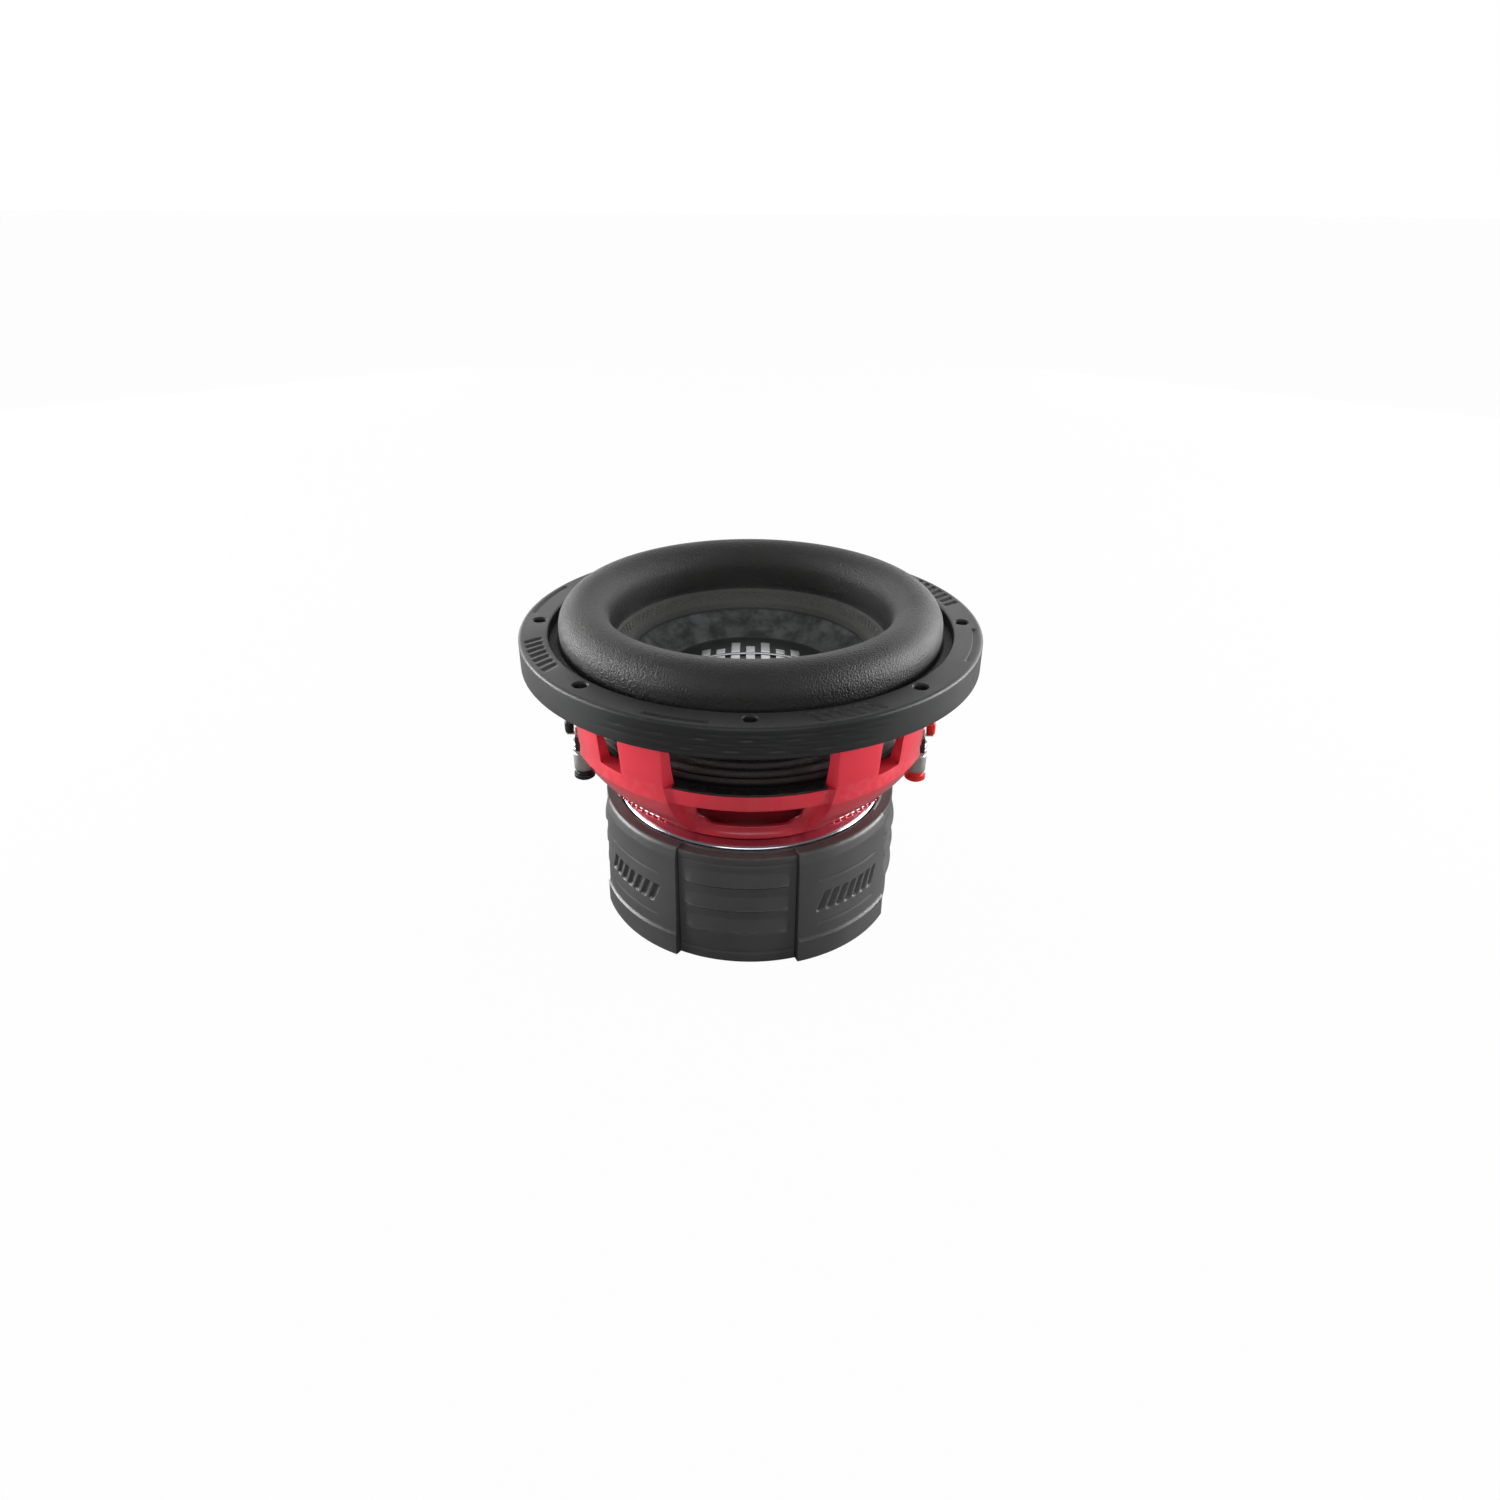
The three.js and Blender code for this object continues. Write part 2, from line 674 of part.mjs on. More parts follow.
function makePost() {
  const body = rod(terminal.postRadius, postBottom, postTop, 0, 0, 16);
  const bore = rod(terminal.bore, postBottom - 1, postTop - terminal.ceiling, 0, 0, 16);
  const stud = rod(terminal.studRadius, postTop - 1, nutLevel + nutHeight + 0.6, 0, 0, 8);
  const wireHole = crossRod(terminal.wireHole, 3 * terminal.postRadius, wireHoleLevel);
  return cut(body, [bore, wireHole]).add(stud);
}

const wireHoleLevel = postBottom + terminal.wireHole + 1.3;
const capTop = postBottom - terminal.travel - terminal.travelSpare;
const stemTop = capTop + terminal.stemLength;

function makeButton() {
  const head = rod(terminal.capRadius, capTop - terminal.capHeight, capTop, 0, 0, 16);
  const stem = rod(terminal.bore - bond, capTop - 1, stemTop, 0, 0, 16);
  const wireHole = crossRod(
    terminal.wireHole - 0.2, 3 * terminal.postRadius, wireHoleLevel - terminal.travel,
  );
  return head.add(stem.subtract(wireHole));
}

function makeSpring() {
  const low = stemTop + bond;
  return ring(2.2, terminal.bore - bond, low, low + terminal.springHeight, 12);
}

function makeLug() {
  const washer = rod(3.4, lugLevel, lugLevel + lugThickness, 0, 0, 16);
  const tip = sleeveY + terminal.radiusOnBasket - lead.sleeveRadius * 0.6;
  const tongue = box(-1.5, 1.5, tip, -1, lugLevel, lugLevel + lugThickness);
  const hole = rod(terminal.studRadius + bond, lugLevel - 1, lugLevel + 2, 0, 0, 12);
  return washer.add(tongue).subtract(hole);
}

function makeNut() {
  const hexagon = rod(nutRadius, nutLevel, nutLevel + nutHeight, 0, 0, 6);
  const hole = rod(terminal.studRadius + bond, nutLevel - 1, nutLevel + nutHeight + 1, 0, 0, 12);
  return hexagon.subtract(hole);
}

function makeBlockScrew() {
  const head = rod(blockScrew.head, shelfBottom - bond - blockScrew.headHeight, shelfBottom - bond);
  const shank = rod(
    blockScrew.shank, shelfBottom - 1, barBottom + blockScrew.bite, 0, 0, 10,
  );
  return head.add(shank);
}

// A flexible lead from the sleeve, over the landing ring, to the neck of the cone.
function makeLead(x) {
  const start = nutLevel + lead.sleeveHeight + bond;
  const over = landingTop + 3.4;
  const neckRadius = collarRadius + cone.collarWall + 2.6;
  const route = new THREE.CatmullRomCurve3([
    new THREE.Vector3(x, sleeveY, start),
    new THREE.Vector3(x, sleeveY + 0.6, start + 4),
    new THREE.Vector3(x, -landing.outerRadius + 0.5, over + 1),
    new THREE.Vector3(x * 1.05, -landing.innerRadius + 2, over + 3.4),
    new THREE.Vector3(x, -60, over + 5),
    new THREE.Vector3(x * 0.8, -47, over + 4.6),
    new THREE.Vector3(x * 0.7, -neckRadius, over + 3),
  ], false, 'centripetal');
  const section = new THREE.Shape();
  section.absarc(0, 0, lead.radius, 0, 2 * Math.PI, false);
  return solidOf(new THREE.ExtrudeGeometry(section, {
    extrudePath: route, steps: 15, curveSegments: 4, bevelEnabled: false,
  }));
}

const postKinds = [
  { colour: 'red', x: postPlaces[0] },
  { colour: 'black', x: postPlaces[1] },
];
['left', 'right'].forEach((side) => {
  const terminals = new THREE.Group();
  terminals.rotation.z = sideTurns[side];
  terminals.add(piece(`${side}_terminal_block`, makeBlock(), 'blackPlastic'));
  [-blockScrewX, blockScrewX].forEach((x, i) => {
    const screw = piece(`${side}_block_screw_${i + 1}`, makeBlockScrew(), 'blackSteel');
    screw.position.set(x, blockScrewY, 0);
    terminals.add(screw);
  });
  postKinds.forEach(({ colour, x }) => {
    const plastic = `${colour}Plastic`;
    const label = `${side}_${colour}`;
    const atPost = new THREE.Group();
    atPost.position.set(x, -terminal.radiusOnBasket, 0);
    atPost.add(
      piece(`${label}_terminal_post`, makePost(), 'nickel'),
      piece(`${label}_terminal_button`, makeButton(), plastic),
      piece(`${label}_terminal_spring`, makeSpring(), 'blackSteel'),
      piece(`${label}_solder_lug`, makeLug(), 'nickel'),
      piece(`${label}_terminal_nut`, makeNut(), 'nickel'),
    );
    const sleeve = rod(lead.sleeveRadius, nutLevel, nutLevel + lead.sleeveHeight, x, sleeveY, 12);
    terminals.add(
      atPost,
      piece(`${label}_lead_sleeve`, sleeve, plastic),
      piece(`${label}_tinsel_lead`, makeLead(x), 'tinsel'),
    );
  });
  speaker.add(terminals);
});

speaker.add(
  piece('basket', makeBasket(), 'redPaint'),
  piece('mounting_gasket', makeGasket(), 'rubber'),
);
for (let i = 0; i < basketScrew.count; i += 1) {
  const screw = piece(`basket_screw_${i + 1}`, makeBasketScrew(), 'blackSteel');
  const [x, y] = pointAt(basketScrew.circle, 45 + 360 * i / basketScrew.count);
  screw.position.set(x, y, 0);
  speaker.add(screw);
}

export default speaker;
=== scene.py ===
# %% [markdown]
# # A car subwoofer speaker, piece by piece
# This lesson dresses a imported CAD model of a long-throw car subwoofer. The CAD model holds every size, mount and
# joint. Blender makes the fine surfaces: the rolled surround, the ribbed rubber boot, the glossy cast basket and
# the small parts of the terminals. The frame is loaded first, because every later step measures it.

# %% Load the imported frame
import math
import bmesh
import bpy
import numpy as np
from mathutils import Matrix, Vector


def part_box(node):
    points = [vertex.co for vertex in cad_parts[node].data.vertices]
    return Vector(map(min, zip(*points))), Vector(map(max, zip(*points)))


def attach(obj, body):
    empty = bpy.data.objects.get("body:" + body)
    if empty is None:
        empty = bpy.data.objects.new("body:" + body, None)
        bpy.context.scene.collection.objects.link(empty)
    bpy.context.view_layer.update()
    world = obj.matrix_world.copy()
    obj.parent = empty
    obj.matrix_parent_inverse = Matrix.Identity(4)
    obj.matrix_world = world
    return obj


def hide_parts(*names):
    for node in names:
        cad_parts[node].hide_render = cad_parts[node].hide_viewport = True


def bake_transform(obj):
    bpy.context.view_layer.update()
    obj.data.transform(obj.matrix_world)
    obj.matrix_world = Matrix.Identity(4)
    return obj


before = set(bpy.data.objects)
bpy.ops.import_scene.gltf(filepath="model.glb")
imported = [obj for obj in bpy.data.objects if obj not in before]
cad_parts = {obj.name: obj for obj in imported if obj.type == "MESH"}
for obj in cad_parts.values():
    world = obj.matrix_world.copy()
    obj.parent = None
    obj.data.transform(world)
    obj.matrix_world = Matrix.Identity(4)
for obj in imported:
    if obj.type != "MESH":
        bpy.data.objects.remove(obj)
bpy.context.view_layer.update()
MM = 0.001

# %% [markdown]
# ## Reading sizes
# A turned piece reaches its full radius on +X, so short helpers give its radius, foot, top and middle in
# millimetres. The rest of the script works in millimetres about the speaker's axis and scales to metres as it makes
# each mesh.


# %% Helpers that read the frame
def radius_of(node):
    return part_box(node)[1][0] / MM


def foot_of(node):
    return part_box(node)[0][2] / MM


def top_of(node):
    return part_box(node)[1][2] / MM


def span_of(node):
    return foot_of(node), top_of(node)


def centre_of(node):
    low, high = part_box(node)
    return [(low[k] + high[k]) / 2 / MM for k in range(3)]


def half_width(node):
    return (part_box(node)[1][0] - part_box(node)[0][0]) / MM / 2


RIM_RADIUS = radius_of("mounting_gasket")
RIM_TOP = top_of("mounting_gasket")
FLANGE_BOTTOM = foot_of("mounting_gasket")
FLANGE_TOP = top_of("basket")
BASKET_FOOT = foot_of("basket")
PLATE_RADIUS = radius_of("top_plate")
PLATE_TOP = top_of("top_plate")
print("rim radius", round(RIM_RADIUS, 2), "rim top", round(RIM_TOP, 2), "basket foot", round(BASKET_FOOT, 2))

# %% [markdown]
# ## Camera
# The camera stands close, a little over half a metre away, and looks down at about 29 degrees with a wide lens.
# Close and wide makes the front of the rim loom over the motor. The tiny roll is how a hand-set tripod stands.

# %% Add the camera
CAMERA_PLACE = Vector((0.0, -0.4746, 0.3439))
CAMERA_AIM = Vector((0.0, 0.0, 0.0785))
CAMERA_ROLL = math.radians(0.32)


def add_camera():
    data = bpy.data.cameras.new("view")
    data.lens = 25.12
    data.sensor_width = 36.0
    camera = bpy.data.objects.new("view", data)
    bpy.context.scene.collection.objects.link(camera)
    turn = (CAMERA_AIM - CAMERA_PLACE).to_track_quat("-Z", "Y").to_matrix().to_4x4()
    camera.matrix_world = Matrix.Translation(CAMERA_PLACE) @ turn @ Matrix.Rotation(CAMERA_ROLL, 4, "Z")
    bpy.context.scene.camera = camera
    return camera


camera = add_camera()
print("camera", [round(v, 3) for v in camera.matrix_world.translation])

# %% [markdown]
# ## Shader building blocks
# Node trees written socket by socket are long, so `put` adds one node, sets its options and fills its inputs. An
# input may be a number, a colour or another node's output, which is then linked.


# %% A helper that adds a shader node
def put(tree, kind, inputs=None, **options):
    node = tree.nodes.new(kind)
    for option, value in options.items():
        setattr(node, option, value)
    for name, value in (inputs or {}).items():
        socket = node.inputs[name]
        if isinstance(value, bpy.types.NodeSocket):
            tree.links.new(value, socket)
        else:
            socket.default_value = value
    return node


def calc(tree, operation, first, second=0.0, third=0.0):
    node = put(tree, "ShaderNodeMath", {0: first, 1: second, 2: third}, operation=operation)
    return node.outputs[0]


def spread(tree, value, low, high, start=0.0, end=1.0):
    """A smooth ramp of value from low..high to start..end."""
    node = put(
        tree, "ShaderNodeMapRange",
        {"Value": value, "From Min": low, "From Max": high, "To Min": start, "To Max": end},
        interpolation_type="SMOOTHSTEP",
    )
    return node.outputs["Result"]


def blend_colours(tree, mask, first, second):
    node = put(tree, "ShaderNodeMix", {"Factor": mask}, data_type="RGBA")
    for socket, value in ((node.inputs[6], first), (node.inputs[7], second)):
        if isinstance(value, bpy.types.NodeSocket):
            tree.links.new(value, socket)
        else:
            socket.default_value = (*value, 1.0)
    return node.outputs[2]


def own_place(tree):
    """Where each point lies in the object's own space, in metres."""
    return put(tree, "ShaderNodeTexCoord").outputs["Object"]


def split(tree, vector):
    return put(tree, "ShaderNodeSeparateXYZ", {0: vector}).outputs


def axis_distance(tree, parts):
    squares = [calc(tree, "MULTIPLY", parts[axis], parts[axis]) for axis in "XY"]
    return calc(tree, "SQRT", calc(tree, "ADD", *squares))


def noise(tree, place, scale, detail, **more):
    inputs = {"Vector": place, "Scale": scale, "Detail": detail, **more}
    return put(tree, "ShaderNodeTexNoise", inputs).outputs["Fac"]


# %% [markdown]
# ## Shared surface effects
# The finishes share a few effects: moulded grain, a painted highlight on sharp edges, a little settled dust, lathe
# lines and woven threads. Each is one node group with its own dials. A group gives out only masks and heights, so
# the shader itself stays in the material, where exporters can find it.


# %% A helper that makes a node group
def make_group(name, inputs, outputs, build):
    group = bpy.data.node_groups.new(name, "ShaderNodeTree")
    for label, value in inputs.items():
        socket = group.interface.new_socket(name=label, in_out="INPUT", socket_type="NodeSocketFloat")
        socket.default_value = value
    for label in outputs:
        group.interface.new_socket(name=label, in_out="OUTPUT", socket_type="NodeSocketFloat")
    dials = group.nodes.new("NodeGroupInput")
    results = group.nodes.new("NodeGroupOutput")
    made = build(group, dials.outputs)
    for label, socket in made.items():
        group.links.new(socket, results.inputs[label])
    print("group", name, "puts out", ", ".join(made))
    return group


def use_group(tree, group, **dials):
    node = put(tree, "ShaderNodeGroup", node_tree=group)
    for name, value in dials.items():
        node.inputs[name.replace("_", " ")].default_value = value
    return node.outputs


# %% Moulded grain, painted edge highlights and dust
def build_grain(tree, dials):
    place = own_place(tree)
    fine = noise(tree, place, dials["Grain Scale"], 3.0)
    patches = noise(tree, place, dials["Patch Scale"], 4.0)
    return {"Height": fine, "Patches": spread(tree, patches, 0.32, 0.68)}


def build_edge_highlights(tree, dials):
    # Painted highlight: sharp edges, found by pointiness, are masked so that the finishes colour them paler.
    shape = put(tree, "ShaderNodeNewGeometry").outputs["Pointiness"]
    breakup = noise(tree, own_place(tree), 260.0, 5.0)
    ridge = spread(tree, shape, 0.51, dials["Sharpness"])
    edge_highlight = calc(tree, "MULTIPLY", ridge, spread(tree, breakup, 0.35, 0.65))
    return {"Mask": calc(tree, "MULTIPLY", edge_highlight, dials["Amount"])}


def build_dust(tree, dials):
    facing = put(tree, "ShaderNodeNewGeometry").outputs["Normal"]
    upward = split(tree, facing)["Z"]
    clumps = noise(tree, own_place(tree), 900.0, 6.0)
    settled = calc(tree, "MULTIPLY", spread(tree, upward, 0.35, 1.0), spread(tree, clumps, 0.45, 0.75))
    return {"Mask": calc(tree, "MULTIPLY", settled, dials["Amount"])}


grain_group = make_group(
    "Moulded Grain", {"Grain Scale": 1800.0, "Patch Scale": 22.0}, ("Height", "Patches"), build_grain
)
edge_group = make_group("Painted Edge Highlights", {"Sharpness": 0.56, "Amount": 0.5}, ("Mask",), build_edge_highlights)
dust_group = make_group("Settled Dust", {"Amount": 0.1}, ("Mask",), build_dust)


# %% Lathe lines and woven threads
def polar_parts(tree):
    """Distance from the axis and angle about it, in metres and radians, from the object's own space."""
    place = own_place(tree)
    parts = split(tree, place)
    distance = axis_distance(tree, parts)
    angle = calc(tree, "ARCTAN2", parts["X"], parts["Y"])
    return distance, angle, parts["Z"], place


def build_lathe_lines(tree, dials):
    distance, _, height, place = polar_parts(tree)
    slant = calc(tree, "ADD", distance, height)
    lines = calc(tree, "SINE", calc(tree, "MULTIPLY", slant, dials["Lines Per Metre"]))
    stretched = put(tree, "ShaderNodeTexNoise", {"W": calc(tree, "MULTIPLY", slant, 2600.0), "Detail": 4.0},
                    noise_dimensions="1D").outputs["Fac"]
    stain = noise(tree, place, 45.0, 5.0)
    mixed = calc(tree, "ADD", calc(tree, "MULTIPLY", lines, 0.2), stretched)
    return {"Height": mixed, "Stain": spread(tree, stain, 0.35, 0.7)}


def build_weave(tree, dials):
    distance, angle, _, place = polar_parts(tree)
    rings = calc(tree, "SINE", calc(tree, "MULTIPLY", distance, dials["Rings Per Metre"]))
    spokes = calc(tree, "SINE", calc(tree, "MULTIPLY", angle, dials["Spokes"]))
    threads = calc(tree, "MULTIPLY", rings, spokes)
    fuzz = noise(tree, place, 2200.0, 3.0)
    height = calc(tree, "ADD", calc(tree, "MULTIPLY", threads, 0.5), fuzz)
    return {"Height": height, "Mask": spread(tree, threads, -1.0, 1.0)}


lathe_group = make_group("Lathe Lines", {"Lines Per Metre": 22000.0}, ("Height", "Stain"), build_lathe_lines)
weave_group = make_group(
    "Woven Threads", {"Rings Per Metre": 5200.0, "Spokes": 420.0}, ("Height", "Mask"), build_weave
)


# %% [markdown]
# ## Materials
# Each finish gets a Principled shader of its own. Rubber is dark, with fine grain and slightly paler edges, a painted
# highlight. The paint is a crimson base under a glossy clear coat with a faint orange peel. Plated steel carries the
# fine lines that the lathe left. Values that are the same all over are typed into the shader, and only what varies
# is linked.


# %% Rubber and plastic finishes
def new_material(name):
    material = bpy.data.materials.new(name)
    material.use_nodes = True
    tree = material.node_tree
    return material, tree, tree.nodes["Principled BSDF"]


def bump(tree, height, distance, strength=1.0):
    inputs = {"Height": height, "Distance": distance, "Strength": strength}
    return put(tree, "ShaderNodeBump", inputs).outputs["Normal"]


def moulded(name, dark, light, roughness, grain=1800.0, depth=0.00006, dust=0.05, edge_shine=0.35, specular=0.5):
    """Rubber or plastic from a mould: grain, patches of colour, painted highlights on edges and a trace of dust."""
    material, tree, shader = new_material(name)
    grained = use_group(tree, grain_group, Grain_Scale=grain)
    edge_highlight = use_group(tree, edge_group, Amount=edge_shine)["Mask"]
    dusty = use_group(tree, dust_group, Amount=dust)["Mask"]
    base = blend_colours(tree, grained["Patches"], dark, light)
    # Sharp edges are painted paler: a painted highlight.
    edges = blend_colours(tree, edge_highlight, base, tuple(min(1.0, 2.2 * v + 0.02) for v in light))
    colour = blend_colours(tree, dusty, edges, (0.42, 0.41, 0.39))
    tree.links.new(colour, shader.inputs["Base Color"])
    rough = spread(tree, grained["Patches"], 0.0, 1.0, roughness - 0.04, roughness + 0.05)
    tree.links.new(rough, shader.inputs["Roughness"])
    shader.inputs["Specular IOR Level"].default_value = specular
    tree.links.new(bump(tree, grained["Height"], depth), shader.inputs["Normal"])
    return material


def painted_light_on_foot(material, inner, outer, colour):
    """The foot of the roll is painted paler than the roll: painted light on the stitched band."""
    tree = material.node_tree
    target = tree.nodes["Principled BSDF"].inputs["Base Color"]
    radius = axis_distance(tree, split(tree, own_place(tree)))
    foot_light = spread(tree, radius, inner, outer, 1.0, 0.0)
    tree.links.new(blend_colours(tree, foot_light, target.links[0].from_socket, colour), target)


# Painted light: the roll's inner foot is coloured paler inside these radii.
FOOT_LIGHT_FULL_WITHIN, FOOT_LIGHT_GONE_BEYOND = 0.0662, 0.067  # metres from the axis, as shaders measure
gasket_rubber = moulded(
    "gasket rubber", (0.013, 0.0137, 0.0137), (0.018, 0.0188, 0.0188), 0.48, grain=2400.0, dust=0.02
)
boot_rubber = moulded("boot rubber", (0.052, 0.053, 0.053), (0.066, 0.067, 0.067), 0.42, grain=2600.0, dust=0.02)
surround_rubber = moulded(
    "surround rubber", (0.012, 0.0125, 0.0117), (0.019, 0.0195, 0.0182), 0.54, grain=1100.0, depth=0.00055,
    edge_shine=0.1, dust=0.03
)
# Painted light on the stitched inner foot of the surround.
painted_light_on_foot(surround_rubber, FOOT_LIGHT_FULL_WITHIN, FOOT_LIGHT_GONE_BEYOND, (0.10, 0.10, 0.097))
cap_rubber = moulded("cap rubber", (0.010, 0.013, 0.011), (0.015, 0.018, 0.016), 0.42, grain=2600.0, dust=0.02)
black_plastic = moulded("black plastic", (0.010, 0.010, 0.011), (0.016, 0.016, 0.017), 0.34)
red_plastic = moulded("red plastic", (0.56, 0.015, 0.012), (0.66, 0.030, 0.022), 0.33, dust=0.03)
ferrite = moulded("sintered ferrite", (0.030, 0.030, 0.033), (0.052, 0.052, 0.055), 0.74, grain=900.0, depth=0.0001)
former_film = moulded("former film", (0.030, 0.022, 0.014), (0.048, 0.036, 0.024), 0.38)
print("moulded finishes made")


# %% Glossy paint over cast metal
def gloss_paint(name, deep, bright):
    material, tree, shader = new_material(name)
    peel = use_group(tree, grain_group, Grain_Scale=420.0, Patch_Scale=16.0)
    flake = use_group(tree, grain_group, Grain_Scale=5200.0)["Height"]
    edge_highlight = use_group(tree, edge_group, Amount=0.16)["Mask"]
    mixed = blend_colours(tree, peel["Patches"], deep, bright)
    sparkle = blend_colours(tree, spread(tree, flake, 0.62, 0.85, 0.0, 0.35), mixed, (0.86, 0.10, 0.12))
    # Sharp edges of the paint are painted paler red: a painted highlight.
    colour = blend_colours(tree, edge_highlight, sparkle, (0.74, 0.20, 0.20))
    tree.links.new(colour, shader.inputs["Base Color"])
    shader.inputs["Roughness"].default_value = 0.40
    shader.inputs["Specular IOR Level"].default_value = 0.25
    shader.inputs["Coat Weight"].default_value = 1.0
    shader.inputs["Coat Roughness"].default_value = 0.06
    shader.inputs["Coat IOR"].default_value = 1.42
    tree.links.new(bump(tree, peel["Height"], 0.00005, 0.6), shader.inputs["Normal"])
    return material


red_paint = gloss_paint("red basket paint", (0.72, 0.030, 0.054), (0.82, 0.046, 0.074))


# %% Metal finishes
def turned_metal(name, clean, stained, roughness, lines=22000.0, depth=0.00002):
    material, tree, shader = new_material(name)
    turned = use_group(tree, lathe_group, Lines_Per_Metre=lines)
    edge_highlight = use_group(tree, edge_group, Amount=0.4)["Mask"]
    base = blend_colours(tree, turned["Stain"], clean, stained)
    # Sharp edges of the metal are painted near white: a painted highlight.
    tree.links.new(blend_colours(tree, edge_highlight, base, (0.9, 0.9, 0.9)), shader.inputs["Base Color"])
    tree.links.new(spread(tree, turned["Stain"], 0.0, 1.0, roughness, roughness + 0.1), shader.inputs["Roughness"])
    shader.inputs["Metallic"].default_value = 1.0
    tree.links.new(bump(tree, turned["Height"], depth), shader.inputs["Normal"])
    return material


plated_steel = turned_metal("plated steel", (0.60, 0.64, 0.70), (0.50, 0.54, 0.60), 0.15, depth=0.000006)
nickel_plate = turned_metal("nickel plate", (0.66, 0.65, 0.62), (0.56, 0.55, 0.52), 0.30)
silver_trim = turned_metal("silver trim", (0.78, 0.79, 0.80), (0.68, 0.69, 0.70), 0.34)
black_steel = turned_metal("black steel", (0.040, 0.040, 0.044), (0.026, 0.026, 0.028), 0.36)
turned_aluminium = turned_metal("turned aluminium", (0.80, 0.81, 0.82), (0.70, 0.71, 0.72), 0.28, depth=0.00004)
copper_wire = turned_metal("copper wire", (0.62, 0.24, 0.10), (0.50, 0.18, 0.07), 0.30)
tinsel_wire = turned_metal("tinsel wire", (0.66, 0.56, 0.42), (0.50, 0.40, 0.28), 0.36)
print("metals made")


# %% Pressed fibre and dipped cloth
def cone_fibre():
    """Pressed paper fibre: soft dark and pale clouds, with short fibres standing up from the face."""
    material, tree, shader = new_material("cone fibre")
    place = own_place(tree)
    clouds = noise(tree, place, 95.0, 7.0, Roughness=0.66, Distortion=0.15)
    hairs = noise(tree, place, 900.0, 4.0, Distortion=2.5)
    dusty = use_group(tree, dust_group, Amount=0.03)["Mask"]
    cloudy = blend_colours(tree, spread(tree, clouds, 0.34, 0.70), (0.045, 0.047, 0.049), (0.170, 0.174, 0.178))
    fibrous = blend_colours(tree, spread(tree, hairs, 0.5, 0.8, 0.0, 0.3), cloudy, (0.26, 0.26, 0.26))
    # The underside, facing down into the basket, is painted near black: painted shade.
    facing_up = split(tree, put(tree, "ShaderNodeNewGeometry").outputs["Normal"])["Z"]
    shaded_underside = blend_colours(tree, spread(tree, facing_up, 0.0, 0.3), (0.012, 0.012, 0.012), fibrous)
    tree.links.new(blend_colours(tree, dusty, shaded_underside, (0.4, 0.4, 0.38)), shader.inputs["Base Color"])
    shader.inputs["Roughness"].default_value = 0.86
    shader.inputs["Specular IOR Level"].default_value = 0.3
    shader.inputs["Sheen Weight"].default_value = 0.25
    shader.inputs["Sheen Roughness"].default_value = 0.5
    tree.links.new(bump(tree, hairs, 0.00014), shader.inputs["Normal"])
    return material


def dipped_cloth():
    material, tree, shader = new_material("spider cloth")
    woven = use_group(tree, weave_group)
    colour = blend_colours(tree, woven["Mask"], (0.005, 0.005, 0.006), (0.016, 0.016, 0.017))
    tree.links.new(colour, shader.inputs["Base Color"])
    shader.inputs["Roughness"].default_value = 0.36
    shader.inputs["Specular IOR Level"].default_value = 0.6
    tree.links.new(bump(tree, woven["Height"], 0.00010), shader.inputs["Normal"])
    return material


fibre = cone_fibre()
cloth = dipped_cloth()

# %% [markdown]
# ## Shaping tools
# Most of the speaker was turned, spun or moulded about one axis. A turned piece starts as an outline of radius and
# height. `outline` rounds its corners with true arcs, `revolve` spins it into quads, and a relief function may push
# the grid in or out, which is how ribs, marks and stitching become real geometry.


# %% Outlines with rounded corners
def outline(corners, steps=4):
    """Corners are (radius, height) or (radius, height, fillet); the result is a closed list of points."""
    points = []
    count = len(corners)
    for i, corner in enumerate(corners):
        here = np.array(corner[:2], float)
        fillet = corner[2] if len(corner) > 2 else 0.0
        if fillet <= 0.0:
            points.append(here)
            continue
        before = np.array(corners[i - 1][:2], float) - here
        after = np.array(corners[(i + 1) % count][:2], float) - here
        to_before = before / np.linalg.norm(before)
        to_after = after / np.linalg.norm(after)
        half = math.acos(np.clip(to_before @ to_after, -1.0, 1.0)) / 2
        reach = min(fillet / math.tan(half), 0.49 * np.linalg.norm(before), 0.49 * np.linalg.norm(after))
        radius = reach * math.tan(half)
        middle = here + (to_before + to_after) / np.linalg.norm(to_before + to_after) * radius / math.sin(half)
        start = here + to_before * reach - middle
        end = here + to_after * reach - middle
        for step in range(steps + 1):
            share = step / steps
            arc = start * (1 - share) + end * share
            points.append(middle + arc / np.linalg.norm(arc) * radius)
    return np.array(points)


def divided(points, longest):
    """Adds points so that no side of the closed outline is longer than this."""
    result = []
    for i, here in enumerate(points):
        step = points[(i + 1) % len(points)] - here
        parts = max(1, math.ceil(np.linalg.norm(step) / longest))
        result.extend(here + step * part / parts for part in range(parts))
    return np.array(result)


def arc(centre, radius, start, end, steps):
    """Points on a circle in the outline's plane, with angles in degrees from the outward direction."""
    angles = np.radians(np.linspace(start, end, steps + 1))
    return [(centre[0] + radius * math.cos(a), centre[1] + radius * math.sin(a)) for a in angles]


# %% Grids, turned pieces and their meshes
def mesh_from(name, points, faces):
    mesh = bpy.data.meshes.new(name)
    mesh.from_pydata((np.asarray(points) * MM).tolist(), [], faces)
    work = bmesh.new()
    work.from_mesh(mesh)
    bmesh.ops.remove_doubles(work, verts=work.verts, dist=1e-7)
    bmesh.ops.dissolve_degenerate(work, edges=work.edges, dist=1e-8)
    bmesh.ops.recalc_face_normals(work, faces=work.faces)
    work.to_mesh(mesh)
    work.free()
    return mesh


def loop_faces(columns, rows):
    """Quads of a grid that closes on itself both ways."""
    faces = []
    for column in range(columns):
        across = (column + 1) % columns
        for row in range(rows):
            up = (row + 1) % rows
            faces.append((column * rows + row, across * rows + row, across * rows + up, column * rows + up))
    return faces


def on_circle(radius, azimuth):
    """Azimuth 0 is the front, -Y, and grows towards +X."""
    return radius * np.sin(np.radians(azimuth)), -radius * np.cos(np.radians(azimuth))


